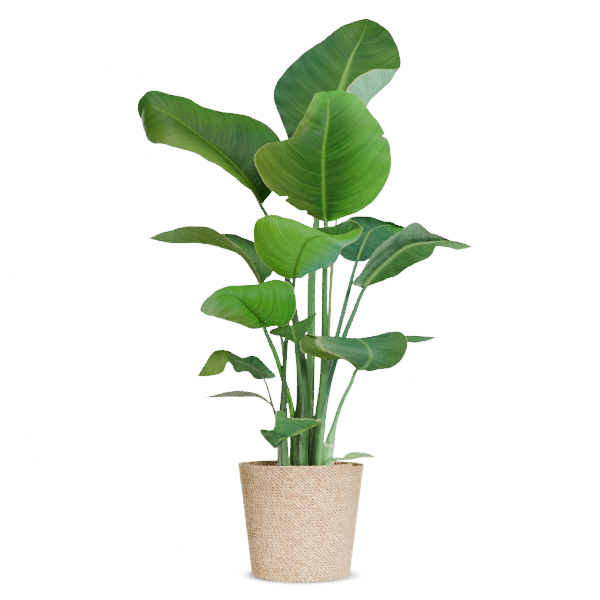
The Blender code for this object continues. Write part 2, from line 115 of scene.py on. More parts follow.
def smooth_curve(points: Points, at: np.ndarray) -> np.ndarray:
    """Samples the cubic Hermite curve through the points.

    The slope at an inner point is that of the parabola through it and its two neighbours.

    Args:
        points: Two or more points.
        at: Places from 0 to 1 of the curve's chord length.

    Returns:
        One point for each place.
    """
    knots_at = np.array(points, float)
    lengths = np.linalg.norm(np.diff(knots_at, axis=0), axis=1)
    knots = np.concatenate([[0], np.cumsum(lengths)])
    chords = np.diff(knots_at, axis=0) / lengths[:, None]
    slopes = np.empty_like(knots_at)
    before, after = lengths[:-1, None], lengths[1:, None]
    slopes[1:-1] = (chords[:-1] * after + chords[1:] * before) / (before + after)
    slopes[0] = 2 * chords[0] - slopes[1] if len(points) > 2 else chords[0]
    slopes[-1] = 2 * chords[-1] - slopes[-2] if len(points) > 2 else chords[-1]
    x = np.clip(at, 0, 1) * knots[-1]
    i = np.clip(np.searchsorted(knots, x, side="right") - 1, 0, len(lengths) - 1)
    h = lengths[i][:, None]
    f = ((x - knots[i]) / lengths[i])[:, None]
    return (
        (1 + 2 * f) * (1 - f) ** 2 * knots_at[i]
        + f * (1 - f) ** 2 * h * slopes[i]
        + f * f * (3 - 2 * f) * knots_at[i + 1]
        + f * f * (f - 1) * h * slopes[i + 1]
    )


def ease(values: tuple[float, ...], at: np.ndarray) -> np.ndarray:
    """Joins values spaced evenly over 0 to 1 by smooth steps.

    Args:
        values: The values, first to last.
        at: Places from 0 to 1.

    Returns:
        The eased value at each place.
    """
    steps = np.array(values, float)
    x = np.clip(at, 0, 1) * (len(steps) - 1)
    i = np.clip(x.astype(int), 0, len(steps) - 2)
    f = x - i
    f = f * f * (3 - 2 * f)
    return steps[i] * (1 - f) + steps[i + 1] * f


def smooth_step(low: float, high: float, x: np.ndarray) -> np.ndarray:
    """Rises smoothly from 0 at low to 1 at high.

    Args:
        low: Where the rise starts.
        high: Where it ends.
        x: Where it is wanted.

    Returns:
        f * f * (3 - 2 * f), f being the share of the way from low to high.
    """
    f = np.clip((x - low) / (high - low), 0, 1)
    return f * f * (3 - 2 * f)


def ripple(x: np.ndarray, wavelength: float, seed: int, waves: int = 5) -> np.ndarray:
    """An uneven ripple between about -1 and 1: a mean of sines of nearly the same wavelength.

    Args:
        x: Where it is wanted, in metres.
        wavelength: The middle wavelength, in metres.
        seed: Chooses the wavelengths and the phases.
        waves: How many sines are added.

    Returns:
        The ripple at each x.
    """
    random = np.random.default_rng(seed)
    lengths = wavelength * random.uniform(0.6, 1.6, waves)
    phases = random.uniform(0, 2 * math.pi, waves)
    total = np.zeros_like(x)
    for length, phase in zip(lengths, phases):
        total = total + np.sin(2 * math.pi * x / length + phase)
    return total / math.sqrt(waves)


def billow(points: np.ndarray, wavelength: float, seed: int, waves: int = 9) -> np.ndarray:
    """A smooth random field between about -1 and 1: a mean of sines along random directions.

    Args:
        points: An array whose last axis holds x, y and z.
        wavelength: The middle wavelength, in metres.
        seed: Chooses the directions and the phases.
        waves: How many sines are added.

    Returns:
        The field at each point.
    """
    random = np.random.default_rng(seed)
    total = np.zeros(points.shape[:-1])
    for _ in range(waves):
        direction = unit(random.normal(size=3)) / (wavelength * random.uniform(0.6, 1.5))
        total = total + np.sin(2 * math.pi * (points @ direction + random.uniform()))
    return total / math.sqrt(waves)


# ---------------------------------------------------------------- meshes


@dataclass
class Surface:
    """A mesh in the making.

    Attributes:
        points: The vertices, one row each.
        quads: Four vertex numbers for each quad.
        quad_uv: For each quad, the UV of its four corners, or None.
        triangles: Three vertex numbers for each triangle, which follow the quads.
        masks: Named values, one for each vertex.
        quad_materials: The material number of each quad. Triangles take number 0.
    """

    points: np.ndarray
    quads: np.ndarray
    quad_uv: dict[str, np.ndarray]
    triangles: np.ndarray
    masks: dict[str, np.ndarray]
    quad_materials: np.ndarray | None = None

    def build(self, name: str, materials: list[bpy.types.Material]) -> bpy.types.Object:
        """Makes the object, with its place in its mesh.

        Args:
            name: The object's name.
            materials: Its materials, in the order of their numbers.

        Returns:
            The linked object, smooth shaded.
        """
        mesh = bpy.data.meshes.new(name)
        mesh.vertices.add(len(self.points))
        mesh.vertices.foreach_set("co", self.points.astype(np.float32).ravel())
        corners = np.concatenate([self.quads.ravel(), self.triangles.ravel()])
        mesh.loops.add(len(corners))
        mesh.loops.foreach_set("vertex_index", corners.astype(np.int32))
        quad_loops = self.quads.size
        starts = np.concatenate(
            [np.arange(0, quad_loops, 4), np.arange(quad_loops, len(corners), 3)]
        )
        mesh.polygons.add(len(starts))
        mesh.polygons.foreach_set("loop_start", starts.astype(np.int32))
        for material in materials:
            mesh.materials.append(material)
        if self.quad_materials is not None:
            numbers = np.zeros(len(starts), np.int32)
            numbers[: len(self.quads)] = self.quad_materials
            mesh.polygons.foreach_set("material_index", numbers)
        mesh.update(calc_edges=True)
        for layer, uv in self.quad_uv.items():
            values = np.zeros((len(corners), 2), np.float32)
            values[:quad_loops] = uv.reshape(-1, 2)
            mesh.uv_layers.new(name=layer).data.foreach_set("uv", values.ravel())
        for layer, values in self.masks.items():
            attribute = mesh.attributes.new(layer, "FLOAT", "POINT")
            attribute.data.foreach_set("value", values.astype(np.float32).ravel())
        mesh.shade_smooth()
        mesh.validate()
        piece = bpy.data.objects.new(name, mesh)
        bpy.context.scene.collection.objects.link(piece)
        return piece


def ring_quads(rows: int, columns: int) -> tuple[np.ndarray, np.ndarray, np.ndarray]:
    """The quads between rings of vertices, each ring closed.

    Args:
        rows: How many rings.
        columns: How many vertices each ring has.

    Returns:
        The quads' vertex numbers; the row of each corner; and the column of each corner, which counts on
        past the ring's last vertex instead of starting again.
    """
    row, column = np.meshgrid(np.arange(rows - 1), np.arange(columns), indexing="ij")
    row, column = row.ravel(), column.ravel()
    corner_rows = np.stack([row, row, row + 1, row + 1], axis=1)
    corner_columns = np.stack([column, column + 1, column + 1, column], axis=1)
    return corner_rows * columns + corner_columns % columns, corner_rows, corner_columns


def tube(rings: np.ndarray, uv: np.ndarray, layer: str, masks: dict[str, np.ndarray]) -> Surface:
    """A closed surface from rings of points, with a fan of triangles on each end.

    Args:
        rings: Rings by points by xyz. The points run clockwise as seen along the way from ring to ring.
        uv: Rings by points + 1 by 2: the last column is the first one's other side of the seam.
        layer: The UV layer's name.
        masks: Named values, rings by points.

    Returns:
        The surface, facing out.
    """
    rows, columns = rings.shape[:2]
    quads, corner_rows, corner_columns = ring_quads(rows, columns)
    middles = np.stack([rings[0].mean(axis=0), rings[-1].mean(axis=0)])
    points = np.concatenate([rings.reshape(-1, 3), middles])
    around = np.arange(columns)
    following = (around + 1) % columns
    first = np.stack([following, around, np.full(columns, rows * columns)], axis=1)
    last_ring = (rows - 1) * columns
    last = np.stack(
        [last_ring + around, last_ring + following, np.full(columns, rows * columns + 1)], axis=1
    )
    all_masks = {
        name: np.concatenate([values.ravel(), [values[0].mean(), values[-1].mean()]])
        for name, values in masks.items()
    }
    return Surface(
        points, quads, {layer: uv[corner_rows, corner_columns]}, np.concatenate([first, last]), all_masks
    )


def place_piece(piece: bpy.types.Object, nodes: tuple[str, ...]) -> bpy.types.Object:
    """Rides a finished piece on the body, and says what it stands for.

    Args:
        piece: The object.
        nodes: The solids it replaces.

    Returns:
        The same object.
    """
    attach(piece, BODY)
    if nodes:
        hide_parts(*nodes)
    LOG.info("%s: %d faces for %s", piece.name, len(piece.data.polygons), ", ".join(nodes) or "no node")
    return piece


# ---------------------------------------------------------------- shader nodes


def put(
    tree: bpy.types.NodeTree, kind: str, inputs: dict | None = None, **settings: object
) -> bpy.types.Node:
    """Adds a node to a tree.

    Args:
        tree: The material's or the group's tree.
        kind: The node's type, without "ShaderNode".
        inputs: For an input's name or number, its value, or the output that feeds it.
        settings: Properties of the node.

    Returns:
        The node.
    """
    node = tree.nodes.new(kind if kind.startswith("NodeGroup") else "ShaderNode" + kind)
    for name, value in settings.items():
        setattr(node, name, value)
    for key, value in (inputs or {}).items():
        if isinstance(value, bpy.types.NodeSocket):
            tree.links.new(value, node.inputs[key])
        elif isinstance(value, tuple) and len(value) == 3 and node.inputs[key].type == "RGBA":
            node.inputs[key].default_value = (*value, 1.0)
        else:
            node.inputs[key].default_value = value
    return node


def math_node(tree: bpy.types.NodeTree, operation: str, *values: object) -> bpy.types.NodeSocket:
    """The result of one Math node.

    Args:
        tree: The tree it goes in.
        operation: The node's operation.
        values: Numbers, or outputs that feed it.

    Returns:
        Its output.
    """
    return put(tree, "Math", dict(enumerate(values)), operation=operation).outputs[0]


def between(
    tree: bpy.types.NodeTree, value: bpy.types.NodeSocket, low: float, high: float, smooth: bool = True
) -> bpy.types.NodeSocket:
    """A mask that rises from 0 where the value is low to 1 where it is high.

    Args:
        tree: The tree it goes in.
        value: The output that is read.
        low: The value where the mask is 0.
        high: The value where it is 1.
        smooth: Whether the mask eases in and out.

    Returns:
        The mask.
    """
    inputs = {"Value": value, "From Min": low, "From Max": high}
    kind = "SMOOTHSTEP" if smooth else "LINEAR"
    return put(tree, "MapRange", inputs, interpolation_type=kind).outputs["Result"]


def blend(
    tree: bpy.types.NodeTree,
    mask: object,
    first: object,
    second: object,
    mode: str = "MIX",
) -> bpy.types.NodeSocket:
    """A colour between two others.

    Args:
        tree: The tree it goes in.
        mask: 0 for the first colour, 1 for the second.
        first: A colour, or an output that gives one.
        second: A colour, or an output that gives one.
        mode: The blend type.

    Returns:
        The mixed colour.
    """
    node = put(tree, "Mix", data_type="RGBA", blend_type=mode)
    for socket, value in ((node.inputs[0], mask), (node.inputs[6], first), (node.inputs[7], second)):
        if isinstance(value, bpy.types.NodeSocket):
            tree.links.new(value, socket)
        else:
            socket.default_value = (*value, 1.0) if isinstance(value, tuple) else value
    return node.outputs[2]


def new_group(
    name: str, inputs: dict[str, float], outputs: tuple[str, ...]
) -> tuple[bpy.types.NodeTree, bpy.types.Node, bpy.types.Node]:
    """Starts a shader node group.

    Args:
        name: The group's name.
        inputs: Its number inputs, with their usual values.
        outputs: Its number outputs.

    Returns:
        The group's tree, its input node and its output node.
    """
    tree = bpy.data.node_groups.new(name, "ShaderNodeTree")
    for title, value in inputs.items():
        socket = tree.interface.new_socket(name=title, in_out="INPUT", socket_type="NodeSocketFloat")
        socket.default_value = value
    for title in outputs:
        tree.interface.new_socket(name=title, in_out="OUTPUT", socket_type="NodeSocketFloat")
    return tree, tree.nodes.new("NodeGroupInput"), tree.nodes.new("NodeGroupOutput")


def use_group(tree: bpy.types.NodeTree, group: bpy.types.NodeTree, **values: float) -> bpy.types.Node:
    """Places a group in a material.

    Args:
        tree: The material's tree.
        group: The group.
        values: Its inputs, with underscores for the spaces in their names.

    Returns:
        The group's node.
    """
    node = put(tree, "Group", node_tree=group)
    for name, value in values.items():
        node.inputs[name.replace("_", " ").capitalize()].default_value = value
    return node


def new_material(name: str) -> tuple[bpy.types.Material, bpy.types.NodeTree, bpy.types.Node]:
    """Starts a material.

    Args:
        name: The material's name.

    Returns:
        The material, its tree and its Principled shader.
    """
    material = bpy.data.materials.new(name)
    material.use_nodes = True
    return material, material.node_tree, material.node_tree.nodes["Principled BSDF"]


def feed(tree: bpy.types.NodeTree, shader: bpy.types.Node, **values: object) -> None:
    """Sets or links the shader's inputs.

    Args:
        tree: The material's tree.
        shader: The Principled shader.
        values: Its inputs, with underscores for the spaces in their names.
    """
    for name, value in values.items():
        socket = shader.inputs[name.replace("_", " ")]
        if isinstance(value, bpy.types.NodeSocket):
            tree.links.new(value, socket)
        else:
            socket.default_value = (*value, 1.0) if isinstance(value, tuple) else value


def relief(
    tree: bpy.types.NodeTree, height: bpy.types.NodeSocket, strength: float, depth: float
) -> bpy.types.NodeSocket:
    """A Bump node's normal.

    Args:
        tree: The material's tree.
        height: The height, 0 to 1.
        strength: How much of the relief shows.
        depth: How far height 1 stands above height 0, in metres.

    Returns:
        The bent normal.
    """
    inputs = {"Strength": strength, "Distance": depth, "Height": height}
    return put(tree, "Bump", inputs).outputs["Normal"]


# ---------------------------------------------------------------- shared effects


@dataclass(frozen=True)
class SharedEffects:
    """The node groups that several materials use.

    Attributes:
        veins: Parallel side veins on a blade: lines, streaks and wide bands.
        mottle: Soft blotches in the object's space.
        fibres: Fibres that run along a stalk or a strand.
    """

    veins: bpy.types.NodeTree
    mottle: bpy.types.NodeTree
    fibres: bpy.types.NodeTree

    @classmethod
    def make(cls) -> "SharedEffects":
        """Builds the three groups."""
        return cls(cls._veins(), cls._mottle(), cls._fibres())

    @staticmethod
    def _uv(tree: bpy.types.NodeTree, layer: str) -> tuple[bpy.types.NodeSocket, bpy.types.NodeSocket]:
        """The two parts of a UV layer."""
        uv = put(tree, "UVMap", uv_map=layer).outputs["UV"]
        split = put(tree, "SeparateXYZ", {0: uv})
        return split.outputs["X"], split.outputs["Y"]

    @staticmethod
    def _stretched(
        tree: bpy.types.NodeTree, x: object, y: object, x_scale: object, y_scale: object, detail: float
    ) -> bpy.types.NodeSocket:
        """Noise over two coordinates, each with a scale of its own."""
        across = math_node(tree, "MULTIPLY", x, x_scale)
        along = math_node(tree, "MULTIPLY", y, y_scale)
        place = put(tree, "CombineXYZ", {"X": across, "Y": along}).outputs[0]
        noise = put(
            tree, "TexNoise", {"Vector": place, "Scale": 1.0, "Detail": detail, "Roughness": 0.6}
        )
        return noise.outputs["Fac"]

    @classmethod
    def _veins(cls) -> bpy.types.NodeTree:
        """Lines at the spacing along the vein coordinate, and noise stretched along the veins."""
        tree, given, result = new_group(
            "side_veins", {"Spacing": 0.004}, ("Line", "Streak", "Band", "Height")
        )
        vein, across = cls._uv(tree, "veins")
        sway = cls._stretched(tree, vein, across, 40.0, 12.0, 1.0)
        sway = math_node(tree, "MULTIPLY", math_node(tree, "SUBTRACT", sway, 0.5), given.outputs[0])
        turns = math_node(tree, "DIVIDE", math_node(tree, "ADD", vein, sway), given.outputs[0])
        wave = math_node(tree, "SINE", math_node(tree, "MULTIPLY", turns, 2 * math.pi))
        line = between(tree, wave, -0.2, 1.0)
        streak = cls._stretched(tree, vein, across, 420.0, 9.0, 3.0)
        band = cls._stretched(tree, vein, across, 70.0, 5.0, 2.0)
        height = math_node(
            tree, "ADD", math_node(tree, "MULTIPLY", line, 0.5), math_node(tree, "MULTIPLY", streak, 0.6)
        )
        for socket, value in zip(result.inputs, (line, streak, band, height)):
            tree.links.new(value, socket)
        return tree

    @staticmethod
    def _mottle() -> bpy.types.NodeTree:
        """Noise of the given scale in the object's space, spread over 0 to 1."""
        tree, given, result = new_group("mottle", {"Scale": 12.0}, ("Mask",))
        place = put(tree, "TexCoord").outputs["Object"]
        noise = put(
            tree, "TexNoise", {"Vector": place, "Scale": given.outputs[0], "Detail": 3.0}
        ).outputs["Fac"]
        tree.links.new(between(tree, noise, 0.3, 0.7), result.inputs[0])
        return tree

    @classmethod
    def _fibres(cls) -> bpy.types.NodeTree:
        """Noise stretched along the length, fine for the fibres and coarse for their tone."""
        tree, given, result = new_group(
            "fibres", {"Along": 30.0, "Around": 30.0}, ("Fibre", "Tone")
        )
        length, turn = cls._uv(tree, "fibres")
        fine = cls._stretched(tree, length, turn, given.outputs[0], given.outputs[1], 3.0)
        coarse = cls._stretched(
            tree, length, turn, math_node(tree, "MULTIPLY", given.outputs[0], 0.4), 3.0, 2.0
        )
        for socket, value in zip(result.inputs, (fine, coarse)):
            tree.links.new(between(tree, value, 0.3, 0.7), socket)
        return tree


# ---------------------------------------------------------------- leaves


@dataclass(frozen=True)
class BladeFinish:
    """The colours of a blade: its own greens, with painted light and shade in how its halves and its tip
    differ.

    Attributes:
        middle: The upper side by the midrib.
        left: The upper side towards the left margin.
        right: The upper side towards the right margin.
        tip: The upper side at the tip.
        under: The underside.
        under_tip: The underside at the tip.
        turned: Painted shade on a margin that is bent away.
        under_right_painted_light: Painted light: a paler underside for the right half, where it faces up into
            the light.
        rib: The midrib.
        tip_from: Where the tip's colour starts, from 0 at the base to 1 at the tip.
        tip_to: Where it is full.
        roughness: How matt the upper side is.
        contrast: How strongly the veins show, 0 to 1.
    """

    middle: Colour
    left: Colour
    right: Colour
    tip: Colour
    under: Colour
    under_tip: Colour
    turned: Colour = display(60, 100, 40)
    under_right_painted_light: Colour | None = None
    rib: Colour = display(96, 146, 60)
    tip_from: float = 0.62
    tip_to: float = 1.0
    roughness: float = 0.5
    contrast: float = 0.7


MIDRIB_UNDER = display(112, 158, 88)
MARGIN = display(176, 200, 120)
DRY = display(96, 74, 48)


@dataclass(frozen=True)
class BladeMaterials:
    """Makes a blade's three materials: upper side, underside and margin.

    Attributes:
        finish: The blade's colours.
        effects: The shared node groups.
    """

    finish: BladeFinish
    effects: SharedEffects

    def _masks(self, tree: bpy.types.NodeTree) -> dict[str, bpy.types.NodeSocket]:
        """Reads the masks that are stored on the blade."""
        names = ("rib", "margin", "dry", "along", "aside", "turned", "crease")
        return {
            name: put(tree, "Attribute", attribute_name=name).outputs["Fac"] for name in names
        }

    def _veined(
        self, tree: bpy.types.NodeTree, base: object, veins: bpy.types.Node, contrast: float
    ) -> bpy.types.NodeSocket:
        """Lays the veins' bands, streaks and lines over a colour."""
        deep = blend(tree, 1.0, base, (0.42, 0.5, 0.46), "MULTIPLY")
        pale = blend(tree, 0.3, base, display(170, 214, 120))
        band = between(tree, veins.outputs["Band"], 0.35, 0.65)
        colour = blend(tree, math_node(tree, "MULTIPLY", band, 0.6 * contrast), base, deep)
        streak = between(tree, veins.outputs["Streak"], 0.46, 0.74)
        colour = blend(tree, math_node(tree, "MULTIPLY", streak, 0.5 * contrast), colour, pale)
        line = math_node(tree, "MULTIPLY", veins.outputs["Line"], 0.85 * contrast)
        return blend(tree, line, colour, deep)

    def upper(self, name: str) -> bpy.types.Material:
        """The upper side: glossy, greener by the midrib, with a pale midrib and margin.

        Args:
            name: The material's name.

        Returns:
            The material.
        """
        finish = self.finish
        material, tree, shader = new_material(name)
        masks = self._masks(tree)
        veins = use_group(tree, self.effects.veins, spacing=0.0042)
        mottle = use_group(tree, self.effects.mottle, scale=9.0).outputs[0]
        # the halves' and the tip's colours mix the leaf's own tone with painted light and shade
        left = between(tree, masks["aside"], 0.42, 0.02)
        right = between(tree, masks["aside"], 0.58, 0.98)
        base = blend(tree, left, finish.middle, finish.left)
        base = blend(tree, right, base, finish.right)
        base = blend(tree, between(tree, masks["along"], finish.tip_from, finish.tip_to), base, finish.tip)
        # painted shade: the band bent away takes the darker turned colour
        base = blend(tree, masks["turned"], base, finish.turned)
        bright = blend(tree, 0.1, base, display(140, 190, 40))
        base = blend(tree, math_node(tree, "MULTIPLY", mottle, 0.8), base, bright)
        colour = self._veined(tree, base, veins, finish.contrast)
        colour = blend(tree, masks["rib"], colour, finish.rib)
        # painted highlight: a pale line along the crease where the band bends away
        crease = blend(tree, 0.7, finish.middle, MARGIN)
        colour = blend(tree, math_node(tree, "MULTIPLY", masks["crease"], 0.8), colour, crease)
        colour = blend(tree, math_node(tree, "MULTIPLY", masks["margin"], 0.75), colour, MARGIN)
        colour = blend(tree, masks["dry"], colour, DRY)
        roughness = math_node(tree, "MULTIPLY_ADD", veins.outputs["Streak"], 0.18, finish.roughness - 0.09)
        normal = relief(tree, veins.outputs["Height"], 0.5, 0.35 * MM)
        feed(tree, shader, Base_Color=colour, Roughness=roughness, Normal=normal)
        feed(tree, shader, Specular_IOR_Level=0.17)
        return material

    def under(self, name: str) -> bpy.types.Material:
        """The underside: paler, matt and bluish, with a stout pale midrib.

        Args:
            name: The material's name.

        Returns:
            The material.
        """
        finish = self.finish
        material, tree, shader = new_material(name)
        masks = self._masks(tree)
        veins = use_group(tree, self.effects.veins, spacing=0.0046)
        base = blend(
            tree, between(tree, masks["along"], 0.5, 1.0), finish.under, finish.under_tip
        )
        # painted light: the right half of the underside is paler where it faces up into the light
        if finish.under_right_painted_light is not None:
            base = blend(tree, between(tree, masks["aside"], 0.5, 0.7), base, finish.under_right_painted_light)
        colour = self._veined(tree, base, veins, 0.8)
        colour = blend(tree, masks["rib"], colour, MIDRIB_UNDER)
        colour = blend(tree, masks["margin"], colour, MARGIN)
        colour = blend(tree, masks["dry"], colour, DRY)
        normal = relief(tree, veins.outputs["Height"], 0.6, 0.4 * MM)
        feed(tree, shader, Base_Color=colour, Roughness=0.6, Normal=normal, Specular_IOR_Level=0.15)
        return material

    def edge(self, name: str) -> bpy.types.Material:
        """The cut-thin margin, pale and slightly dry.

        Args:
            name: The material's name.

        Returns:
            The material.
        """
        material, tree, shader = new_material(name)
        masks = self._masks(tree)
        mottle = use_group(tree, self.effects.mottle, scale=60.0).outputs[0]
        colour = blend(tree, math_node(tree, "MULTIPLY", mottle, 0.5), MARGIN, self.finish.left)
        colour = blend(tree, masks["dry"], colour, DRY)
        feed(tree, shader, Base_Color=colour, Roughness=0.6)
        return material


@dataclass(frozen=True)
class StalkFinish:
    """The colours of a stalk: its own greens, with painted shade darkening the feet in the clump and painted
    highlights in the palest.

    Attributes:
        foot: At the soil.
        middle: Halfway up.
        top: By the blade.
        roughness: How matt it is.
    """

    foot: Colour
    middle: Colour
    top: Colour
    roughness: float = 0.44


@dataclass(frozen=True)
class Tear:
    """A split in a margin, which runs in along the veins.

    Attributes:
        place: Where it is, from 0 at the base to 1 at the tip.
        depth: How deep it is, as a share of the half's width.
        width: How wide it is, as a share of the blade's length.
    """

    place: float
    depth: float
    width: float


@dataclass(frozen=True)
class Turned:
    """A band along a margin that is bent away from the rest, with a crease where it starts.

    Attributes:
        start: Where it starts, from 0 at the blade's base to 1 at its tip.
        end: Where it ends.
        shares: Where the crease is from start to end, from 0 at the midrib to 1 at the margin.
        sink: How far the band sinks below the upper side.
    """

    start: float
    end: float
    shares: tuple[float, ...]
    sink: float = 2.5 * MM


@dataclass(frozen=True)
class Half:
    """One half of a blade.

    Attributes:
        margin: Its margin from base to tip, without those two points.
        halfway: The curve halfway between midrib and margin, for a half that rolls over.
        camber: Otherwise, how far it bows up at the base, middle and tip, as a part of its width.
        tears: The splits in its margin.
        turned: The band that is bent away.
        dry: How brown its margin is, 0 to 1.
    """

    margin: Points
    halfway: Points | None = None
    camber: tuple[float, ...] = (0.05, 0.05, 0.05)
    tears: tuple[Tear, ...] = ()
    turned: Turned | None = None
    dry: float = 0.0

    def bent(self, along: np.ndarray, columns: np.ndarray) -> tuple[np.ndarray, np.ndarray]:
        """Where the half is bent away, and where its crease is, both 0 to 1.

        Args:
            along: The rows' places from 0 at the base to 1 at the tip.
            columns: The columns' places from 0 at the midrib to 1 at the margin.

        Returns:
            The band's mask and the crease's mask, rows by columns.
        """
        if self.turned is None:
            nothing = np.zeros((len(along), len(columns)))
            return nothing, nothing
        band = self.turned
        window = smooth_step(band.start - 0.03, band.start + 0.05, along)
        window = window * smooth_step(-band.end - 0.03, -band.end + 0.05, -along)
        share = ease(band.shares, (along - band.start) / (band.end - band.start))
        out = columns[None] - share[:, None]
        return (
            smooth_step(-0.02, 0.05, out) * window[:, None],
            np.exp(-((out / 0.025) ** 2)) * window[:, None],
        )


@dataclass(frozen=True)
class Leaf:
    """A leaf: a stalk, and a blade stretched between a midrib and two margins.

    Attributes:
        name: The end of its nodes' names.
        radii: The stalk's radii from foot to blade, evenly spaced.
        petiole: The stalk's centre line, up to just below the blade.
        midrib: The midrib from base to tip.
        left: The left half.
        right: The right half.
        blade_finish: The blade's colours.
        stalk_finish: The stalk's colours.
        pleats: How deep the pleats along the veins are, in metres.
        waves: How far the blade and its margins wave, in metres.
        lean: How far the veins lean towards the tip, halfway along: the tangent of their angle.
        collar: Where a pale ring, left by an older sheath, goes round the stalk, or 0 for none.
    """

    name: str
    radii: tuple[float, ...]
    petiole: Points
    midrib: Points
    left: Half
    right: Half
    blade_finish: BladeFinish
    stalk_finish: StalkFinish
    pleats: float = 0.7 * MM
    waves: float = 1.6 * MM
    lean: float = 0.5
    collar: float = 0.0

    ROW_STEP = 2.1 * MM
    COLUMN_STEP = 3.0 * MM
    THICK_MIDDLE = 0.9 * MM
    THICK_MARGIN = 0.5 * MM
    STALK_STEP = 3.0 * MM
    STALK_SIDES = 32
    JOINT = 14 * MM

    @property
    def seed(self) -> int:
        """A number of the leaf's own, from its name."""
        return sum(ord(letter) * (k + 1) for k, letter in enumerate(self.name))

    @property
    def length(self) -> float:
        """The midrib's length."""
        line = smooth_curve(self.midrib, np.linspace(0, 1, 60))
        return float(np.linalg.norm(np.diff(line, axis=0), axis=1).sum())

    def _half(
        self, side: Side, along: np.ndarray, columns: np.ndarray
    ) -> tuple[np.ndarray, ...]:
        """One half of the blade's middle surface, from the midrib outwards.

        At each place along, the row is the parabola through the midrib M, the halfway point H and the
        margin E: (1 - t)(1 - 2t) M + 4 t (1 - t) H + t (2t - 1) E. A tear takes t back at the margin.

        Args:
            side: Which half.
            along: The rows' places from 0 to 1.
            columns: The columns' places from 0 at the midrib to 1 at the margin.

        Returns:
            The points; each row's width; how dry each point is, how far it is bent away, and how near
            the crease it is, each 0 to 1.
        """
        half = self.left if side is Side.LEFT else self.right
        base, tip = self.midrib[0], self.midrib[-1]
        midrib = smooth_curve(self.midrib, along)
        margin = smooth_curve((base, *half.margin, tip), along)
        across = margin - midrib
        width = np.linalg.norm(across, axis=1)
        if half.halfway:
            halfway = smooth_curve((base, *half.halfway, tip), along)
        else:
            upwards = unit(np.cross(side.value * across, unit(np.gradient(midrib, axis=0))))
            halfway = (midrib + margin) / 2 + upwards * (ease(half.camber, along) * width)[:, None]
        cut = np.zeros_like(along)
        for tear in half.tears:
            nearness = np.clip(1 - np.abs(along - tear.place) / tear.width, 0, 1)
            cut = np.maximum(cut, tear.depth * nearness**0.8)
        ragged = 0.5 + 0.5 * ripple(along * self.length, 5 * MM, self.seed + side.value)
        cut = cut + 0.5 * MM * ragged / np.maximum(width, 5 * MM)
        t = (columns[None, :] - cut[:, None] * columns[None, :] ** 7)[..., None]
        points = (
            (1 - t) * (1 - 2 * t) * midrib[:, None]
            + 4 * t * (1 - t) * halfway[:, None]
            + t * (2 * t - 1) * margin[:, None]
        )
        torn = smooth_step(0.02, 0.06, cut)[:, None] * smooth_step(0.9, 0.99, columns)[None]
        dry = half.dry * smooth_step(0.93, 1.0, columns)[None] * smooth_step(0.1, 0.5, along)[:, None]
        return points, width, np.maximum(torn, dry), *half.bent(along, columns)

    def _sheet(self) -> dict[str, np.ndarray]:
        """The blade's middle surface with its relief, and the coordinates on it.

        The vein coordinate is the distance along the midrib less lean times the distance out, so a line
        where it stays the same climbs towards the tip. The relief is a ripple of that coordinate, plus
        broad waves and waves of the margin, and it fades out at the midrib and at both ends.

        Returns:
            points, normals, vein, aside (signed distance from the midrib), place (-1 to 1 across),
            width, dry, turned, crease and along.
        """
        length = self.length
        rows = int(np.clip(length / self.ROW_STEP, 46, 230))
        widest = 0.0
        probe = np.linspace(0, 1, 21)
        for half in (self.left, self.right):
            margin = smooth_curve((self.midrib[0], *half.margin, self.midrib[-1]), probe)
            widest = max(widest, np.linalg.norm(margin - smooth_curve(self.midrib, probe), axis=1).max())
        half_columns = int(np.clip(widest / self.COLUMN_STEP, 12, 36))
        along = np.linspace(0.004, 0.997, rows)
        columns = 0.5 * (1 - np.cos(math.pi * np.linspace(0, 1, half_columns) ** 0.85))
        sides = {side: self._half(side, along, columns) for side in Side}
        left, right = sides[Side.LEFT], sides[Side.RIGHT]
        points = np.concatenate([left[0][:, :0:-1], right[0]], axis=1)
        dry, turned, crease = (
            np.concatenate([left[k][:, :0:-1], right[k]], axis=1) for k in (2, 3, 4)
        )
        sink = np.where(
            np.arange(turned.shape[1]) < half_columns,
            self.left.turned.sink if self.left.turned else 0.0,
            self.right.turned.sink if self.right.turned else 0.0,
        )
        place = np.concatenate([-columns[:0:-1], columns])[None].repeat(rows, axis=0)
        width = np.where(place < 0, left[1][:, None], right[1][:, None])
        aside = place * width
        out = np.abs(place)
        lean = self.lean * (0.55 + 0.9 * along[:, None])
        vein = along[:, None] * length - lean * np.abs(aside) * (0.6 + 0.4 * out)
        own = vein + np.where(place < 0, 0.37, 0.0)
        ripples = 0.25 * ripple(own, 11 * MM, self.seed) + 0.75 * ripple(own, 42 * MM, self.seed + 1)
        swell = billow(points, 0.13, self.seed + 2)
        flutter = out**3 * ripple(along[:, None] * length + np.sign(place), 55 * MM, self.seed + 3)
        fade = smooth_step(3 * MM, 22 * MM, np.abs(aside)) * (
            smooth_step(0, 0.06, along) * smooth_step(0, 0.12, 1 - along)
        )[:, None]
        normals = unit(np.cross(np.gradient(points, axis=1), np.gradient(points, axis=0)))
        lift = fade * (self.pleats * ripples + self.waves * (0.6 * swell + flutter))
        lift = lift + 0.7 * MM * crease - sink * turned
        points = points + normals * lift[..., None]
        normals = unit(np.cross(np.gradient(points, axis=1), np.gradient(points, axis=0)))
        return dict(
            points=points, normals=normals, vein=vein, aside=aside, place=place, width=width, dry=dry,
            turned=turned, crease=crease,
            along=along[:, None].repeat(points.shape[1], axis=1),
        )

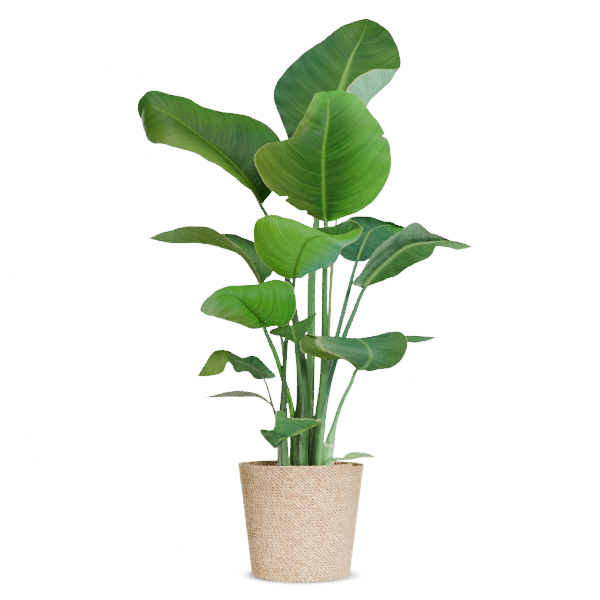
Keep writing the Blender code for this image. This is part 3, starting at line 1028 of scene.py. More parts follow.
    def blade(self, effects: SharedEffects) -> bpy.types.Object:
        """The closed blade: the sheet with its thickness, the groove above and the rib below the midrib.

        Each row becomes a flat ring: its upper side from left to right, a point on the right margin, its
        underside from right to left, and a point on the left margin. The rib is the parabola
        1 - (d / 1.25 r)^2 of the distance d from the midrib, and r shrinks from the stalk's radius.

        Args:
            effects: The shared node groups.

        Returns:
            The finished piece.
        """
        sheet = self._sheet()
        points, normals = sheet["points"], sheet["normals"]
        rows, width = points.shape[:2]
        out = np.abs(sheet["place"])
        radius = self.radii[-1] * (1 - sheet["along"]) ** 0.75 + 0.8 * MM
        distance = sheet["aside"] / radius
        thick = self.THICK_MIDDLE + (self.THICK_MARGIN - self.THICK_MIDDLE) * out**2
        rib = radius * 1.3 * np.clip(1 - (distance / 1.25) ** 2, 0, 1)
        groove = radius * 0.4 * np.exp(-((distance / 0.6) ** 2))
        upper = points + normals * (thick / 2 - groove)[..., None]
        lower = points - normals * (thick / 2 + rib)[..., None]
        beyond_right = points[:, -1:] + unit(points[:, -1:] - points[:, -2:-1]) * self.THICK_MARGIN / 2
        beyond_left = points[:, :1] + unit(points[:, :1] - points[:, 1:2]) * self.THICK_MARGIN / 2

        def around(values: np.ndarray) -> np.ndarray:
            """Values on the sheet, repeated round each row's ring."""
            return np.concatenate([values, values[:, -1:], values[:, ::-1], values[:, :1]], axis=1)

        ring = np.concatenate([upper, beyond_right, lower[:, ::-1], beyond_left], axis=1)
        count = ring.shape[1]
        quads, _, corner_columns = ring_quads(rows, count)
        first = corner_columns[:, 0]
        numbers = np.where(first < width - 1, 0, np.where((first > width) & (first < 2 * width), 1, 2))
        k = np.arange(width - 1)
        over, below = np.stack([k + 1, k], axis=1), np.stack([2 * width - k, 2 * width - k - 1], axis=1)
        caps = np.concatenate([
            np.stack([over[:, 0], over[:, 1], below[:, 0]], axis=1),
            np.stack([over[:, 0], below[:, 0], below[:, 1]], axis=1),
            [[width, width - 1, width + 1], [0, 2 * width + 1, 2 * width]],
        ])
        margin_gap = (1 - out) * sheet["width"]
        masks = {
            "rib": np.exp(-((distance / 0.75) ** 2)) * (1 - 0.8 * smooth_step(0.66, 0.95, sheet["along"])),
            "margin": 1 - smooth_step(0.3 * MM, 1.8 * MM, margin_gap),
            "dry": sheet["dry"],
            "turned": sheet["turned"],
            "crease": sheet["crease"],
            "along": sheet["along"],
            "aside": 0.5 + 0.5 * sheet["place"],
        }
        uv = np.stack([around(sheet["vein"]), around(sheet["aside"])], axis=-1).reshape(-1, 2)
        surface = Surface(
            ring.reshape(-1, 3),
            quads,
            {"veins": uv[quads]},
            np.concatenate([caps, caps[:, ::-1] + (rows - 1) * count]),
            {name: around(values) for name, values in masks.items()},
            numbers,
        )
        dress = BladeMaterials(self.blade_finish, effects)
        materials = [
            dress.upper(f"upper_side_{self.name}"),
            dress.under(f"underside_{self.name}"),
            dress.edge(f"margin_{self.name}"),
        ]
        piece = surface.build(f"leaf_blade_{self.name}", materials)
        return place_piece(piece, (f"blade_{self.name}",))

    def stalk(self, effects: SharedEffects) -> bpy.types.Object:
        """The stalk: a tube with a channel on the side that faces the plant's middle.

        The radius at turn a from that side is r (1 - c exp(-(a / 0.42)^2) + e exp(-((|a| - 0.8) / 0.22)^2)):
        c cuts the channel, and e raises its two edges, which are the thin margins of the sheath lower down.

        Args:
            effects: The shared node groups.

        Returns:
            The finished piece.
        """
        near = np.array([0.0, 0.05])
        midrib = smooth_curve(self.midrib, near)
        left, right = (
            smooth_curve((self.midrib[0], *half.margin, self.midrib[-1]), near)[1]
            for half in (self.left, self.right)
        )
        onward = unit(midrib[1] - midrib[0])
        below = -unit(np.cross(right - left, onward)) * self.radii[-1]
        path = (
            *self.petiole,
            tuple(midrib[0] + 0.7 * below),
            tuple(midrib[0] + onward * self.JOINT + 0.9 * below),
        )
        rough = smooth_curve(path, np.linspace(0, 1, 60))
        length = float(np.linalg.norm(np.diff(rough, axis=0), axis=1).sum())
        rows = max(24, int(length / self.STALK_STEP))
        at = np.linspace(0, 1, rows)
        height = at * length
        centres = smooth_curve(path, at)
        radius = ease(self.radii, at) * (1 + 0.1 * np.exp(-height / 0.02))
        if self.collar:
            radius = radius * (1 + 0.09 * np.exp(-(((height - self.collar) / (2 * MM)) ** 2)))
        radius = radius * (1 - 0.45 * smooth_step(length - self.JOINT, length, height))
        turns = np.linspace(-math.pi, math.pi, self.STALK_SIDES, endpoint=False)
        away = np.abs(turns)
        sheath = 1 - smooth_step(0.1, 0.55, at)
        channel = (0.22 + 0.1 * sheath)[:, None] * np.exp(-((away / 0.42) ** 2))[None]
        edges = (0.05 + 0.13 * sheath)[:, None] * np.exp(-(((away - 0.8) / 0.22) ** 2))[None]
        shape = radius[:, None] * (1 - channel + edges + 0.012 * np.cos(9 * turns)[None])
        tangents = unit(np.gradient(centres, axis=0))
        middle = np.array([0.01, 0.02, 0.0]) - centres
        middle[:, 2] = 0
        inwards = middle - tangents * (middle * tangents).sum(axis=1, keepdims=True)
        inwards = unit(inwards / np.maximum(np.linalg.norm(inwards, axis=1, keepdims=True), 4 * MM)
                       + np.array([0.0, 0.35, 0.0]))
        inwards = unit(inwards - tangents * (inwards * tangents).sum(axis=1, keepdims=True))
        sideways = np.cross(tangents, inwards)
        rings = centres[:, None] + shape[..., None] * (
            inwards[:, None] * np.cos(turns)[None, :, None] + sideways[:, None] * np.sin(turns)[None, :, None]
        )
        rings[0, :, 2] = FOOT
        around = np.linspace(0, 1, self.STALK_SIDES + 1)
        uv = np.stack(np.broadcast_arrays(height[:, None], around[None]), axis=-1)
        masks = {
            "height": np.broadcast_to(at[:, None], shape.shape),
            "lip": np.exp(-(((away - 0.8) / 0.16) ** 2))[None] * sheath[:, None],
            "channel": np.broadcast_to(np.exp(-((away / 0.5) ** 2))[None], shape.shape),
            "collar": np.broadcast_to(
                np.exp(-(((height - self.collar) / (2.2 * MM)) ** 2))[:, None] * (self.collar > 0),
                shape.shape,
            ),
        }
        surface = tube(rings, uv, "fibres", masks)
        piece = surface.build(f"leaf_stalk_{self.name}", [self._stalk_material(effects)])
        return place_piece(piece, (f"petiole_{self.name}",))

    def _stalk_material(self, effects: SharedEffects) -> bpy.types.Material:
        """Smooth green skin with long fibres, paler along the sheath's edges and at the collar."""
        finish = self.stalk_finish
        material, tree, shader = new_material(f"stalk_{self.name}")
        fibres = use_group(tree, effects.fibres, along=9.0, around=46.0)
        names = ("height", "lip", "channel", "collar")
        masks = {name: put(tree, "Attribute", attribute_name=name).outputs["Fac"] for name in names}
        # foot to top: the stalk's own greens with painted shade and highlights mixed in
        base = blend(tree, between(tree, masks["height"], 0.02, 0.45), finish.foot, finish.middle)
        base = blend(tree, between(tree, masks["height"], 0.45, 0.98), base, finish.top)
        dark = blend(tree, 1.0, base, (0.62, 0.66, 0.6), "MULTIPLY")
        pale = blend(tree, 0.3, base, display(150, 206, 140))
        tone = math_node(tree, "MULTIPLY", fibres.outputs["Tone"], 0.55)
        colour = blend(tree, tone, base, dark)
        colour = blend(tree, math_node(tree, "MULTIPLY", fibres.outputs["Fibre"], 0.35), colour, pale)
        colour = blend(tree, math_node(tree, "MULTIPLY", masks["channel"], 0.25), colour, pale)
        colour = blend(tree, math_node(tree, "MULTIPLY", masks["lip"], 0.7), colour, display(196, 212, 150))
        collar = math_node(tree, "MULTIPLY", masks["collar"], 0.85)
        colour = blend(tree, collar, colour, display(214, 216, 170))
        normal = relief(tree, fibres.outputs["Fibre"], 0.35, 0.3 * MM)
        feed(tree, shader, Base_Color=colour, Roughness=finish.roughness, Normal=normal)
        feed(tree, shader, Specular_IOR_Level=0.35)
        return material


# The plant's greens: upper sides first, then undersides and stalks. Besides the plant's own colours they hold
# painted light and shade: darker for shaded parts, paler for lit ones.
BOTTLE = display(15, 65, 5)
FOREST = display(20, 85, 10)
HOLLY = display(32, 80, 50)
DUSK = display(38, 68, 45)
THICKET = display(42, 100, 48)
GRASS = display(35, 125, 8)
LAWN = display(65, 140, 5)
FRESH = display(68, 155, 35)
LIME = display(65, 175, 40)
JADE = display(64, 155, 110)
OLIVE = display(78, 112, 38)
MOSS = display(60, 108, 55)
FERN = display(75, 128, 75)
BLUE_GREEN = display(50, 105, 72)
SAGE = display(100, 145, 85)
CELADON = display(130, 162, 112)
MINT = display(128, 212, 152)
DULL = display(148, 155, 128)
STEM_DARK = display(24, 66, 24)
STEM_GREY = display(62, 60, 62)
STEM_GREEN = display(55, 112, 50)
STEM_YELLOW = display(84, 162, 42)
STEM_BLUE = display(62, 122, 84)
STEM_LIGHT = display(82, 150, 82)
STEM_PALE = display(110, 190, 112)


LEAVES = (
    Leaf(
        name="top",
        radii=(0.012, 0.0105, 0.01, 0.0095, 0.005),
        petiole=(
            (0.013, 0.045, FOOT), (0.02, 0.052, 0.379), (0.023, 0.06, 0.515), (0.025, 0.07, 0.664),
            (0.035, 0.08, 0.781),
        ),
        midrib=(
            (0.04, 0.085, 0.875), (0.06, 0.095, 0.985), (0.085, 0.105, 1.095), (0.115, 0.115, 1.18),
            (0.145, 0.135, 1.245), (0.16, 0.17, 1.3),
        ),
        left=Half(
            margin=(
                (0, 0.075, 0.915), (-0.04, 0.08, 1.01), (-0.065, 0.09, 1.1), (-0.025, 0.1, 1.165),
                (0.045, 0.115, 1.225), (0.11, 0.135, 1.275),
            ),
            camber=(-0.05, 0.06, 0.1),
        ),
        right=Half(
            margin=(
                (0.055, 0.04, 0.925), (0.085, 0.04, 1.045), (0.115, 0.045, 1.105),
                (0.16, 0.065, 1.14), (0.235, 0.115, 1.165), (0.235, 0.14, 1.21), (0.205, 0.155, 1.27),
            ),
            halfway=(
                (0.105, 0.09, 0.96), (0.16, 0.11, 1.075), (0.205, 0.12, 1.135), (0.195, 0.125, 1.19),
                (0.185, 0.14, 1.24),
            ),
        ),
        blade_finish=BladeFinish(
            FOREST, HOLLY, FOREST, BOTTLE, MINT, CELADON,
            roughness=0.56, contrast=0.6, rib=display(104, 158, 66),
        ),
        stalk_finish=StalkFinish(STEM_GREEN, STEM_LIGHT, STEM_PALE),
        pleats=0.45 * MM,
    ),
    Leaf(
        name="upper_left",
        radii=(0.0165, 0.0165, 0.012, 0.0085, 0.0065, 0.0045),
        petiole=(
            (-0.004, 0, FOOT), (-0.002, 0, 0.292), (0.004, 0.005, 0.379), (0, 0.015, 0.457),
            (-0.009, 0.03, 0.536), (-0.034, 0.05, 0.667), (-0.062, 0.06, 0.769),
        ),
        midrib=(
            (-0.09, 0.065, 0.825), (-0.135, 0.045, 0.895), (-0.22, 0.03, 0.97), (-0.305, 0.03, 1.03),
            (-0.355, 0.05, 1.055), (-0.37, 0.1, 1.025),
        ),
        left=Half(
            margin=(
                (-0.12, 0.03, 0.855), (-0.18, -0.02, 0.895), (-0.245, -0.05, 0.925),
                (-0.295, -0.04, 0.94), (-0.34, 0.02, 0.96),
            ),
            camber=(0, 0.06, 0.08),
        ),
        right=Half(
            margin=(
                (-0.06, 0.085, 0.875), (-0.04, 0.1, 0.935), (-0.05, 0.1, 0.99), (-0.115, 0.1, 1.04),
                (-0.205, 0.09, 1.055), (-0.305, 0.08, 1.09), (-0.365, 0.075, 1.09),
                (-0.38, 0.08, 1.07), (-0.38, 0.09, 1.045),
            ),
            camber=(0.05, 0.05, 0.05),
            dry=0.9,
        ),
        blade_finish=BladeFinish(
            BOTTLE, OLIVE, FOREST, FOREST, CELADON, CELADON,
            roughness=0.54, contrast=0.6, rib=display(80, 116, 30),
        ),
        stalk_finish=StalkFinish(STEM_DARK, STEM_DARK, STEM_GREEN),
        pleats=0.45 * MM,
        lean=0.9,
    ),
    Leaf(
        name="front",
        radii=(0.009, 0.0075, 0.0072, 0.007, 0.0055),
        petiole=(
            (0.026, 0.01, FOOT), (0.038, 0.01, 0.346), (0.047, 0.005, 0.413), (0.051, 0, 0.512),
            (0.053, -0.01, 0.656),
        ),
        midrib=(
            (0.055, -0.03, 0.77), (0.05, -0.055, 0.85), (0.05, -0.07, 0.925), (0.06, -0.06, 1.005),
            (0.06, -0.03, 1.06), (0.055, 0.03, 1.07),
        ),
        left=Half(
            margin=(
                (0.015, -0.04, 0.785), (-0.045, -0.06, 0.82), (-0.085, -0.075, 0.86),
                (-0.1, -0.085, 0.91), (-0.075, -0.085, 0.935), (-0.03, -0.07, 0.945),
                (0.005, -0.055, 1), (0.035, -0.03, 1.06),
            ),
            camber=(0.03, 0.06, 0.05),
            tears=(Tear(0.22, 0.16, 0.012), Tear(0.11, 0.2, 0.012)),
        ),
        right=Half(
            margin=(
                (0.095, -0.035, 0.78), (0.16, -0.05, 0.815), (0.195, -0.065, 0.875),
                (0.195, -0.065, 0.935), (0.165, -0.06, 0.995), (0.13, -0.045, 1.045),
                (0.095, -0.02, 1.07),
            ),
            camber=(0.03, 0.05, 0.05),
            tears=(Tear(0.55, 0.07, 0.01),),
        ),
        blade_finish=BladeFinish(
            FOREST, OLIVE, FRESH, LIME, CELADON, CELADON,
            contrast=0.9, rib=display(84, 140, 44),
        ),
        stalk_finish=StalkFinish(STEM_DARK, STEM_GREEN, STEM_LIGHT),
        lean=0.85,
    ),
    Leaf(
        name="middle",
        radii=(0.012, 0.01, 0.0055, 0.005, 0.0045),
        petiole=(
            (-0.037, -0.005, FOOT), (-0.04, -0.008, 0.303), (-0.039, -0.02, 0.369),
            (-0.037, -0.025, 0.434), (-0.033, -0.03, 0.5), (-0.026, -0.045, 0.571),
        ),
        midrib=(
            (-0.015, -0.065, 0.64), (-0.005, -0.1, 0.685), (0.015, -0.11, 0.72),
            (0.045, -0.105, 0.73), (0.085, -0.09, 0.725), (0.135, -0.05, 0.755),
        ),
        left=Half(
            margin=(
                (-0.07, -0.07, 0.665), (-0.1, -0.075, 0.71), (-0.095, -0.08, 0.77),
                (-0.065, -0.075, 0.78), (0, -0.06, 0.76), (0.065, -0.055, 0.76), (0.11, -0.04, 0.775),
            ),
            camber=(0.08, 0.08, -0.12),
            turned=Turned(0.6, 0.99, (0.34, 0.34), 3 * MM),
        ),
        right=Half(
            margin=(
                (0.025, -0.07, 0.655), (0.075, -0.08, 0.675), (0.09, -0.1, 0.705),
                (0.12, -0.08, 0.725),
            ),
            camber=(0.08, 0.08, 0.03),
        ),
        blade_finish=BladeFinish(
            FRESH, LAWN, JADE, LAWN, CELADON, CELADON,
            contrast=0.8, turned=display(22, 84, 20), rib=display(58, 104, 26),
        ),
        stalk_finish=StalkFinish(STEM_DARK, STEM_DARK, STEM_GREEN),
    ),
    Leaf(
        name="left",
        radii=(0.008, 0.006, 0.0045, 0.004, 0.0035),
        petiole=(
            (-0.038, 0.03, FOOT), (-0.038, 0.03, 0.379), (-0.038, 0.03, 0.469), (-0.045, 0.03, 0.525),
            (-0.063, 0.035, 0.586),
        ),
        midrib=(
            (-0.09, 0.03, 0.64), (-0.11, 0.02, 0.675), (-0.135, 0.01, 0.705), (-0.175, 0, 0.72),
            (-0.225, 0, 0.73), (-0.29, 0, 0.73), (-0.34, 0, 0.74),
        ),
        left=Half(
            margin=(
                (-0.1, -0.01, 0.665), (-0.11, -0.03, 0.685), (-0.14, -0.05, 0.715),
                (-0.175, -0.055, 0.745), (-0.22, -0.05, 0.76), (-0.285, -0.03, 0.755),
            ),
            camber=(0.05, 0.05, 0.05),
        ),
        right=Half(
            margin=(
                (-0.065, 0.06, 0.675), (-0.08, 0.08, 0.715), (-0.125, 0.08, 0.75),
                (-0.175, 0.07, 0.76), (-0.24, 0.05, 0.75),
            ),
            camber=(0.1, 0.1, 0.1),
        ),
        blade_finish=BladeFinish(
            MOSS, MOSS, MOSS, FERN, OLIVE, SAGE,
        ),
        stalk_finish=StalkFinish(STEM_GREEN, STEM_GREEN, STEM_GREEN),
        lean=2.2,
    ),
    Leaf(
        name="lower_left",
        radii=(0.008, 0.0075, 0.0065, 0.006, 0.0045),
        petiole=(
            (-0.02, 0.03, FOOT), (-0.018, 0.025, 0.297), (-0.02, 0.01, 0.353), (-0.029, 0.004, 0.393),
            (-0.04, -0.006, 0.428), (-0.055, -0.035, 0.476),
        ),
        midrib=(
            (-0.08, -0.08, 0.535), (-0.09, -0.1, 0.555), (-0.11, -0.115, 0.57), (-0.13, -0.125, 0.59),
            (-0.15, -0.13, 0.6), (-0.185, -0.155, 0.59), (-0.21, -0.17, 0.565),
        ),
        left=Half(
            margin=(
                (-0.1, -0.1, 0.53), (-0.135, -0.14, 0.54), (-0.175, -0.17, 0.55),
                (-0.195, -0.18, 0.555),
            ),
            camber=(0.06, 0.06, 0.06),
        ),
        right=Half(
            margin=(
                (-0.06, -0.09, 0.535), (-0.03, -0.1, 0.54), (-0.01, -0.105, 0.58),
                (-0.02, -0.1, 0.625), (-0.05, -0.085, 0.64), (-0.095, -0.08, 0.63),
                (-0.14, -0.09, 0.625), (-0.18, -0.12, 0.61), (-0.205, -0.15, 0.585),
            ),
            camber=(0.06, 0.06, 0.06),
        ),
        blade_finish=BladeFinish(
            GRASS, OLIVE, GRASS, SAGE, CELADON, CELADON,
            contrast=0.8, rib=display(62, 112, 34),
        ),
        stalk_finish=StalkFinish(STEM_YELLOW, STEM_YELLOW, STEM_GREEN),
        lean=1.0,
    ),
    Leaf(
        name="back_right",
        radii=(0.008, 0.0065, 0.006, 0.006, 0.0045),
        petiole=(
            (0.036, 0.05, FOOT), (0.045, 0.055, 0.334), (0.059, 0.07, 0.424), (0.076, 0.085, 0.498),
            (0.097, 0.1, 0.579),
        ),
        midrib=(
            (0.13, 0.12, 0.7), (0.145, 0.125, 0.74), (0.16, 0.14, 0.77), (0.19, 0.17, 0.79),
            (0.23, 0.2, 0.795), (0.265, 0.22, 0.79),
        ),
        left=Half(
            margin=(
                (0.145, 0.12, 0.7), (0.18, 0.12, 0.725), (0.205, 0.13, 0.75), (0.23, 0.16, 0.77),
                (0.25, 0.19, 0.78),
            ),
            camber=(0.03, 0.03, 0.03),
        ),
        right=Half(
            margin=(
                (0.105, 0.12, 0.705), (0.08, 0.12, 0.735), (0.085, 0.115, 0.775),
                (0.115, 0.12, 0.805), (0.15, 0.13, 0.81), (0.19, 0.16, 0.805), (0.235, 0.19, 0.8),
            ),
            camber=(0.03, 0.03, 0.03),
        ),
        blade_finish=BladeFinish(
            FERN, FERN, FERN, SAGE, BLUE_GREEN, FRESH,
            roughness=0.46,
        ),
        stalk_finish=StalkFinish(STEM_GREEN, STEM_BLUE, STEM_BLUE),
    ),
    Leaf(
        name="right",
        radii=(0.009, 0.0075, 0.007, 0.0068, 0.005),
        petiole=(
            (0.042, 0.03, FOOT), (0.049, 0.035, 0.335), (0.065, 0.048, 0.424), (0.091, 0.06, 0.506),
            (0.121, 0.075, 0.579),
        ),
        midrib=(
            (0.145, 0.085, 0.635), (0.195, 0.085, 0.69), (0.25, 0.085, 0.73), (0.305, 0.09, 0.74),
            (0.345, 0.1, 0.745), (0.4, 0.12, 0.735),
        ),
        left=Half(
            margin=(
                (0.175, 0.08, 0.645), (0.215, 0.065, 0.66), (0.255, 0.055, 0.685),
                (0.295, 0.06, 0.705), (0.315, 0.08, 0.73), (0.365, 0.1, 0.725),
            ),
            camber=(0.06, 0.06, 0.06),
        ),
        right=Half(
            margin=(
                (0.12, 0.07, 0.64), (0.14, 0.04, 0.675), (0.17, 0.01, 0.715), (0.205, 0.01, 0.745),
                (0.24, 0.03, 0.77), (0.26, 0.05, 0.785), (0.295, 0.07, 0.765), (0.34, 0.09, 0.75),
                (0.375, 0.11, 0.745),
            ),
            halfway=(
                (0.13, 0.1, 0.645), (0.16, 0.11, 0.69), (0.205, 0.115, 0.73), (0.24, 0.105, 0.76),
                (0.275, 0.1, 0.765), (0.32, 0.1, 0.755), (0.36, 0.115, 0.745),
            ),
        ),
        blade_finish=BladeFinish(
            FERN, FERN, FERN, SAGE, MOSS, SAGE,
            under_right_painted_light=display(156, 204, 160),
        ),
        stalk_finish=StalkFinish(STEM_GREEN, STEM_BLUE, STEM_BLUE),
    ),
    Leaf(
        name="lower_right",
        radii=(0.0125, 0.0115, 0.0055, 0.005, 0.0045),
        petiole=(
            (0.057, -0.01, FOOT), (0.064, -0.01, 0.286), (0.075, -0.01, 0.331), (0.09, -0.01, 0.375),
            (0.111, 0, 0.417),
        ),
        midrib=(
            (0.125, 0.01, 0.445), (0.145, -0.01, 0.455), (0.155, -0.02, 0.475), (0.15, -0.01, 0.495),
            (0.13, 0.02, 0.515), (0.16, 0.07, 0.52), (0.235, 0.12, 0.52), (0.32, 0.14, 0.525),
        ),
        left=Half(
            margin=(
                (0.09, -0.01, 0.465), (0.035, -0.04, 0.47), (0, -0.06, 0.49), (0, -0.05, 0.52),
                (0.045, -0.025, 0.51), (0.075, 0.01, 0.505), (0.1, 0.035, 0.5), (0.14, 0.08, 0.515),
                (0.235, 0.14, 0.53),
            ),
            camber=(0, 0, 0),
            turned=Turned(0.01, 0.46, (0.3, 0.6, 0.72, 1.0), 2.5 * MM),
        ),
        right=Half(
            margin=(
                (0.165, 0, 0.445), (0.2, -0.01, 0.45), (0.22, -0.02, 0.465), (0.235, -0.02, 0.5),
                (0.225, 0.01, 0.53), (0.2, 0.05, 0.53), (0.22, 0.085, 0.52), (0.265, 0.12, 0.51),
            ),
            camber=(0.08, 0.06, 0),
        ),
        blade_finish=BladeFinish(
            BLUE_GREEN, SAGE, MOSS, FERN, CELADON, CELADON,
            contrast=0.8, turned=display(58, 92, 24), rib=display(92, 156, 84),
        ),
        stalk_finish=StalkFinish(STEM_PALE, STEM_LIGHT, STEM_LIGHT),
        collar=0.075,
    ),
    Leaf(
        name="small_centre",
        radii=(0.005, 0.005, 0.005, 0.0045, 0.004),
        petiole=(
            (-0.002, -0.025, FOOT), (0, -0.026, 0.304), (0.004, -0.03, 0.369), (0, -0.03, 0.412),
            (-0.007, -0.04, 0.462),
        ),
        midrib=(
            (-0.01, -0.05, 0.5), (-0.015, -0.07, 0.52), (-0.02, -0.08, 0.54), (-0.025, -0.06, 0.53),
        ),
        left=Half(
            margin=(
                (-0.04, -0.06, 0.515), (-0.07, -0.065, 0.525), (-0.065, -0.065, 0.535),
                (-0.045, -0.06, 0.535),
            ),
            camber=(0.05, 0.05, 0.05),
        ),
        right=Half(
            margin=(
                (0.005, -0.065, 0.515), (0.025, -0.08, 0.545), (0.035, -0.08, 0.57),
                (0.01, -0.065, 0.55),
            ),
            camber=(0.05, 0.05, 0.05),
        ),
        blade_finish=BladeFinish(
            THICKET, MOSS, THICKET, MOSS, CELADON, CELADON,
        ),
        stalk_finish=StalkFinish(STEM_DARK, STEM_DARK, STEM_GREEN),
    ),
    Leaf(
        name="left_small",
        radii=(0.004, 0.0035, 0.003, 0.0025),
        petiole=(
            (-0.05, -0.03, FOOT), (-0.05, -0.03, 0.293), (-0.054, -0.03, 0.336),
            (-0.065, -0.035, 0.378),
        ),
        midrib=(
            (-0.08, -0.04, 0.425), (-0.095, -0.045, 0.445), (-0.115, -0.05, 0.455),
            (-0.14, -0.06, 0.465), (-0.16, -0.07, 0.475), (-0.19, -0.09, 0.455), (-0.22, -0.1, 0.43),
        ),
        left=Half(
            margin=(
                (-0.1, -0.05, 0.425), (-0.115, -0.065, 0.44), (-0.14, -0.08, 0.44),
                (-0.155, -0.085, 0.46), (-0.165, -0.1, 0.44), (-0.195, -0.105, 0.43),
            ),
            camber=(0, 0, 0.05),
        ),
        right=Half(
            margin=(
                (-0.055, -0.03, 0.43), (-0.07, -0.02, 0.45), (-0.1, -0.02, 0.475),
                (-0.125, -0.035, 0.47), (-0.16, -0.055, 0.49), (-0.185, -0.07, 0.485),
                (-0.205, -0.085, 0.46),
            ),
            camber=(0, 0, 0.05),
        ),
        blade_finish=BladeFinish(
            DUSK, DUSK, BLUE_GREEN, OLIVE, SAGE, CELADON,
            tip_from=0.5, tip_to=0.6, rib=display(70, 100, 60),
        ),
        stalk_finish=StalkFinish(STEM_GREY, STEM_GREY, MOSS),
    ),
    Leaf(
        name="left_thin",
        radii=(0.004, 0.0035, 0.0025),
        petiole=((-0.049, 0.012, FOOT), (-0.051, 0.015, 0.313), (-0.058, 0.02, 0.355)),
        midrib=(
            (-0.07, 0.02, 0.375), (-0.1, 0.02, 0.39), (-0.135, 0.02, 0.395), (-0.175, 0.02, 0.39),
            (-0.215, 0.02, 0.385),
        ),
        left=Half(
            margin=((-0.1, 0, 0.385), (-0.14, -0.01, 0.385), (-0.175, 0, 0.385)),
        ),
        right=Half(
            margin=((-0.1, 0.04, 0.395), (-0.135, 0.05, 0.4), (-0.175, 0.04, 0.395)),
        ),
        blade_finish=BladeFinish(
            DULL, DULL, DULL, DULL, DULL, DULL,
        ),
        stalk_finish=StalkFinish(STEM_GREEN, STEM_GREEN, SAGE),
        lean=2.5,
        waves=0.6 * MM,
    ),
    Leaf(
        name="base_left",
        radii=(0.0078, 0.0078, 0.0075),
        petiole=((0.035, -0.03, FOOT), (0.041, -0.04, 0.287)),
        midrib=(
            (0.045, -0.045, 0.33), (0.01, -0.06, 0.315), (-0.025, -0.075, 0.3),
            (-0.045, -0.08, 0.295), (-0.055, -0.075, 0.275),
        ),
        left=Half(
            margin=((0, -0.055, 0.31), (-0.035, -0.065, 0.295), (-0.045, -0.07, 0.285)),
        ),
        right=Half(
            margin=(
                (0.02, -0.065, 0.34), (-0.005, -0.075, 0.34), (-0.03, -0.085, 0.345),
                (-0.05, -0.09, 0.36), (-0.055, -0.095, 0.34), (-0.06, -0.095, 0.32),
                (-0.085, -0.09, 0.32),
            ),
        ),
        blade_finish=BladeFinish(
            HOLLY, HOLLY, THICKET, DUSK, FERN, FERN,
            tip_from=0.5,
        ),
        stalk_finish=StalkFinish(STEM_GREEN, STEM_GREEN, STEM_GREEN),
    ),
    Leaf(
        name="base_right",
        radii=(0.004, 0.004, 0.0035),
        petiole=((0.045, -0.047, FOOT), (0.065, -0.045, 0.251)),
        midrib=(
            (0.09, -0.035, 0.255), (0.11, -0.03, 0.255), (0.135, -0.03, 0.26), (0.165, -0.03, 0.255),
        ),
        left=Half(
            margin=((0.105, -0.015, 0.265), (0.14, -0.015, 0.265)),
        ),
        right=Half(
            margin=((0.11, -0.045, 0.255), (0.135, -0.045, 0.255)),
        ),
        blade_finish=BladeFinish(
            CELADON, CELADON, CELADON, CELADON, CELADON, CELADON,
        ),
        stalk_finish=StalkFinish(STEM_GREEN, STEM_GREEN, STEM_LIGHT),
    ),
)


# ---------------------------------------------------------------- young leaf


@dataclass(frozen=True)
class RolledLeaf:
    """The youngest leaf, still rolled up: a slim tapering tube with a seam that winds round it.

    Attributes:
        path: Its centre line from foot to tip.
        radii: Its radii along that line.
        seam_turns: How many times the seam goes round.
    """

    path: Points = (
        (0.027, 0.03, FOOT), (0.039, 0.028, 0.335), (0.054, 0.03, 0.413), (0.061, 0.03, 0.513),
        (0.068, 0.035, 0.649), (0.08, 0.05, 0.783), (0.085, 0.05, 0.857),
    )
    radii: tuple[float, ...] = (0.003, 0.0035, 0.004, 0.0045, 0.0015)
    seam_turns: float = 2.6

    def build(self, effects: SharedEffects) -> bpy.types.Object:
        """The rolled blade: r (0.94 + 0.16 (1 - d)^3), d being the turn past the seam, from 0 to 1.

        Args:
            effects: The shared node groups.

        Returns:
            The finished piece.
        """
        rows, sides = 240, 30
        at = np.linspace(0, 1, rows)
        centres = smooth_curve(self.path, at)
        radius = ease(self.radii, at) * smooth_step(-0.03, 0.05, 1 - at)
        tangents = unit(np.gradient(centres, axis=0))
        across = unit(np.cross(tangents, np.array([0.0, 1.0, 0.0])))
        beside = np.cross(tangents, across)
        turns = np.linspace(0, 1, sides, endpoint=False)
        past = (turns[None] - at[:, None] * self.seam_turns) % 1.0
        shape = radius[:, None] * (0.94 + 0.16 * (1 - past) ** 3)
        angle = 2 * math.pi * turns
        rings = centres[:, None] + shape[..., None] * (
            across[:, None] * np.cos(angle)[None, :, None] + beside[:, None] * np.sin(angle)[None, :, None]
        )
        height = at * (self.path[-1][2] - self.path[0][2])
        uv = np.stack(np.broadcast_arrays(height[:, None], np.linspace(0, 1, sides + 1)[None]), axis=-1)
        masks = {
            "height": np.broadcast_to(at[:, None], past.shape),
            "seam": np.exp(-((np.minimum(past, 1 - past) / 0.05) ** 2)),
        }
        piece = tube(rings, uv, "fibres", masks).build("rolled_young_leaf", [self._material(effects)])
        return place_piece(piece, ("new_leaf_spear",))

    def _material(self, effects: SharedEffects) -> bpy.types.Material:
        """Waxy pale green, darker to the foot, with a thin pale seam."""
        material, tree, shader = new_material("rolled_young_leaf")
        fibres = use_group(tree, effects.fibres, along=12.0, around=30.0)
        height = put(tree, "Attribute", attribute_name="height").outputs["Fac"]
        seam = put(tree, "Attribute", attribute_name="seam").outputs["Fac"]
        base = blend(tree, between(tree, height, 0.1, 0.8), display(84, 124, 60), display(120, 166, 88))
        deep = blend(tree, 1.0, base, (0.6, 0.66, 0.55), "MULTIPLY")
        colour = blend(tree, math_node(tree, "MULTIPLY", fibres.outputs["Fibre"], 0.5), base, deep)
        colour = blend(tree, math_node(tree, "MULTIPLY", seam, 0.6), colour, display(176, 200, 120))
        normal = relief(tree, fibres.outputs["Fibre"], 0.4, 0.3 * MM)
        feed(tree, shader, Base_Color=colour, Roughness=0.4, Normal=normal)
        return material


# ---------------------------------------------------------------- basket


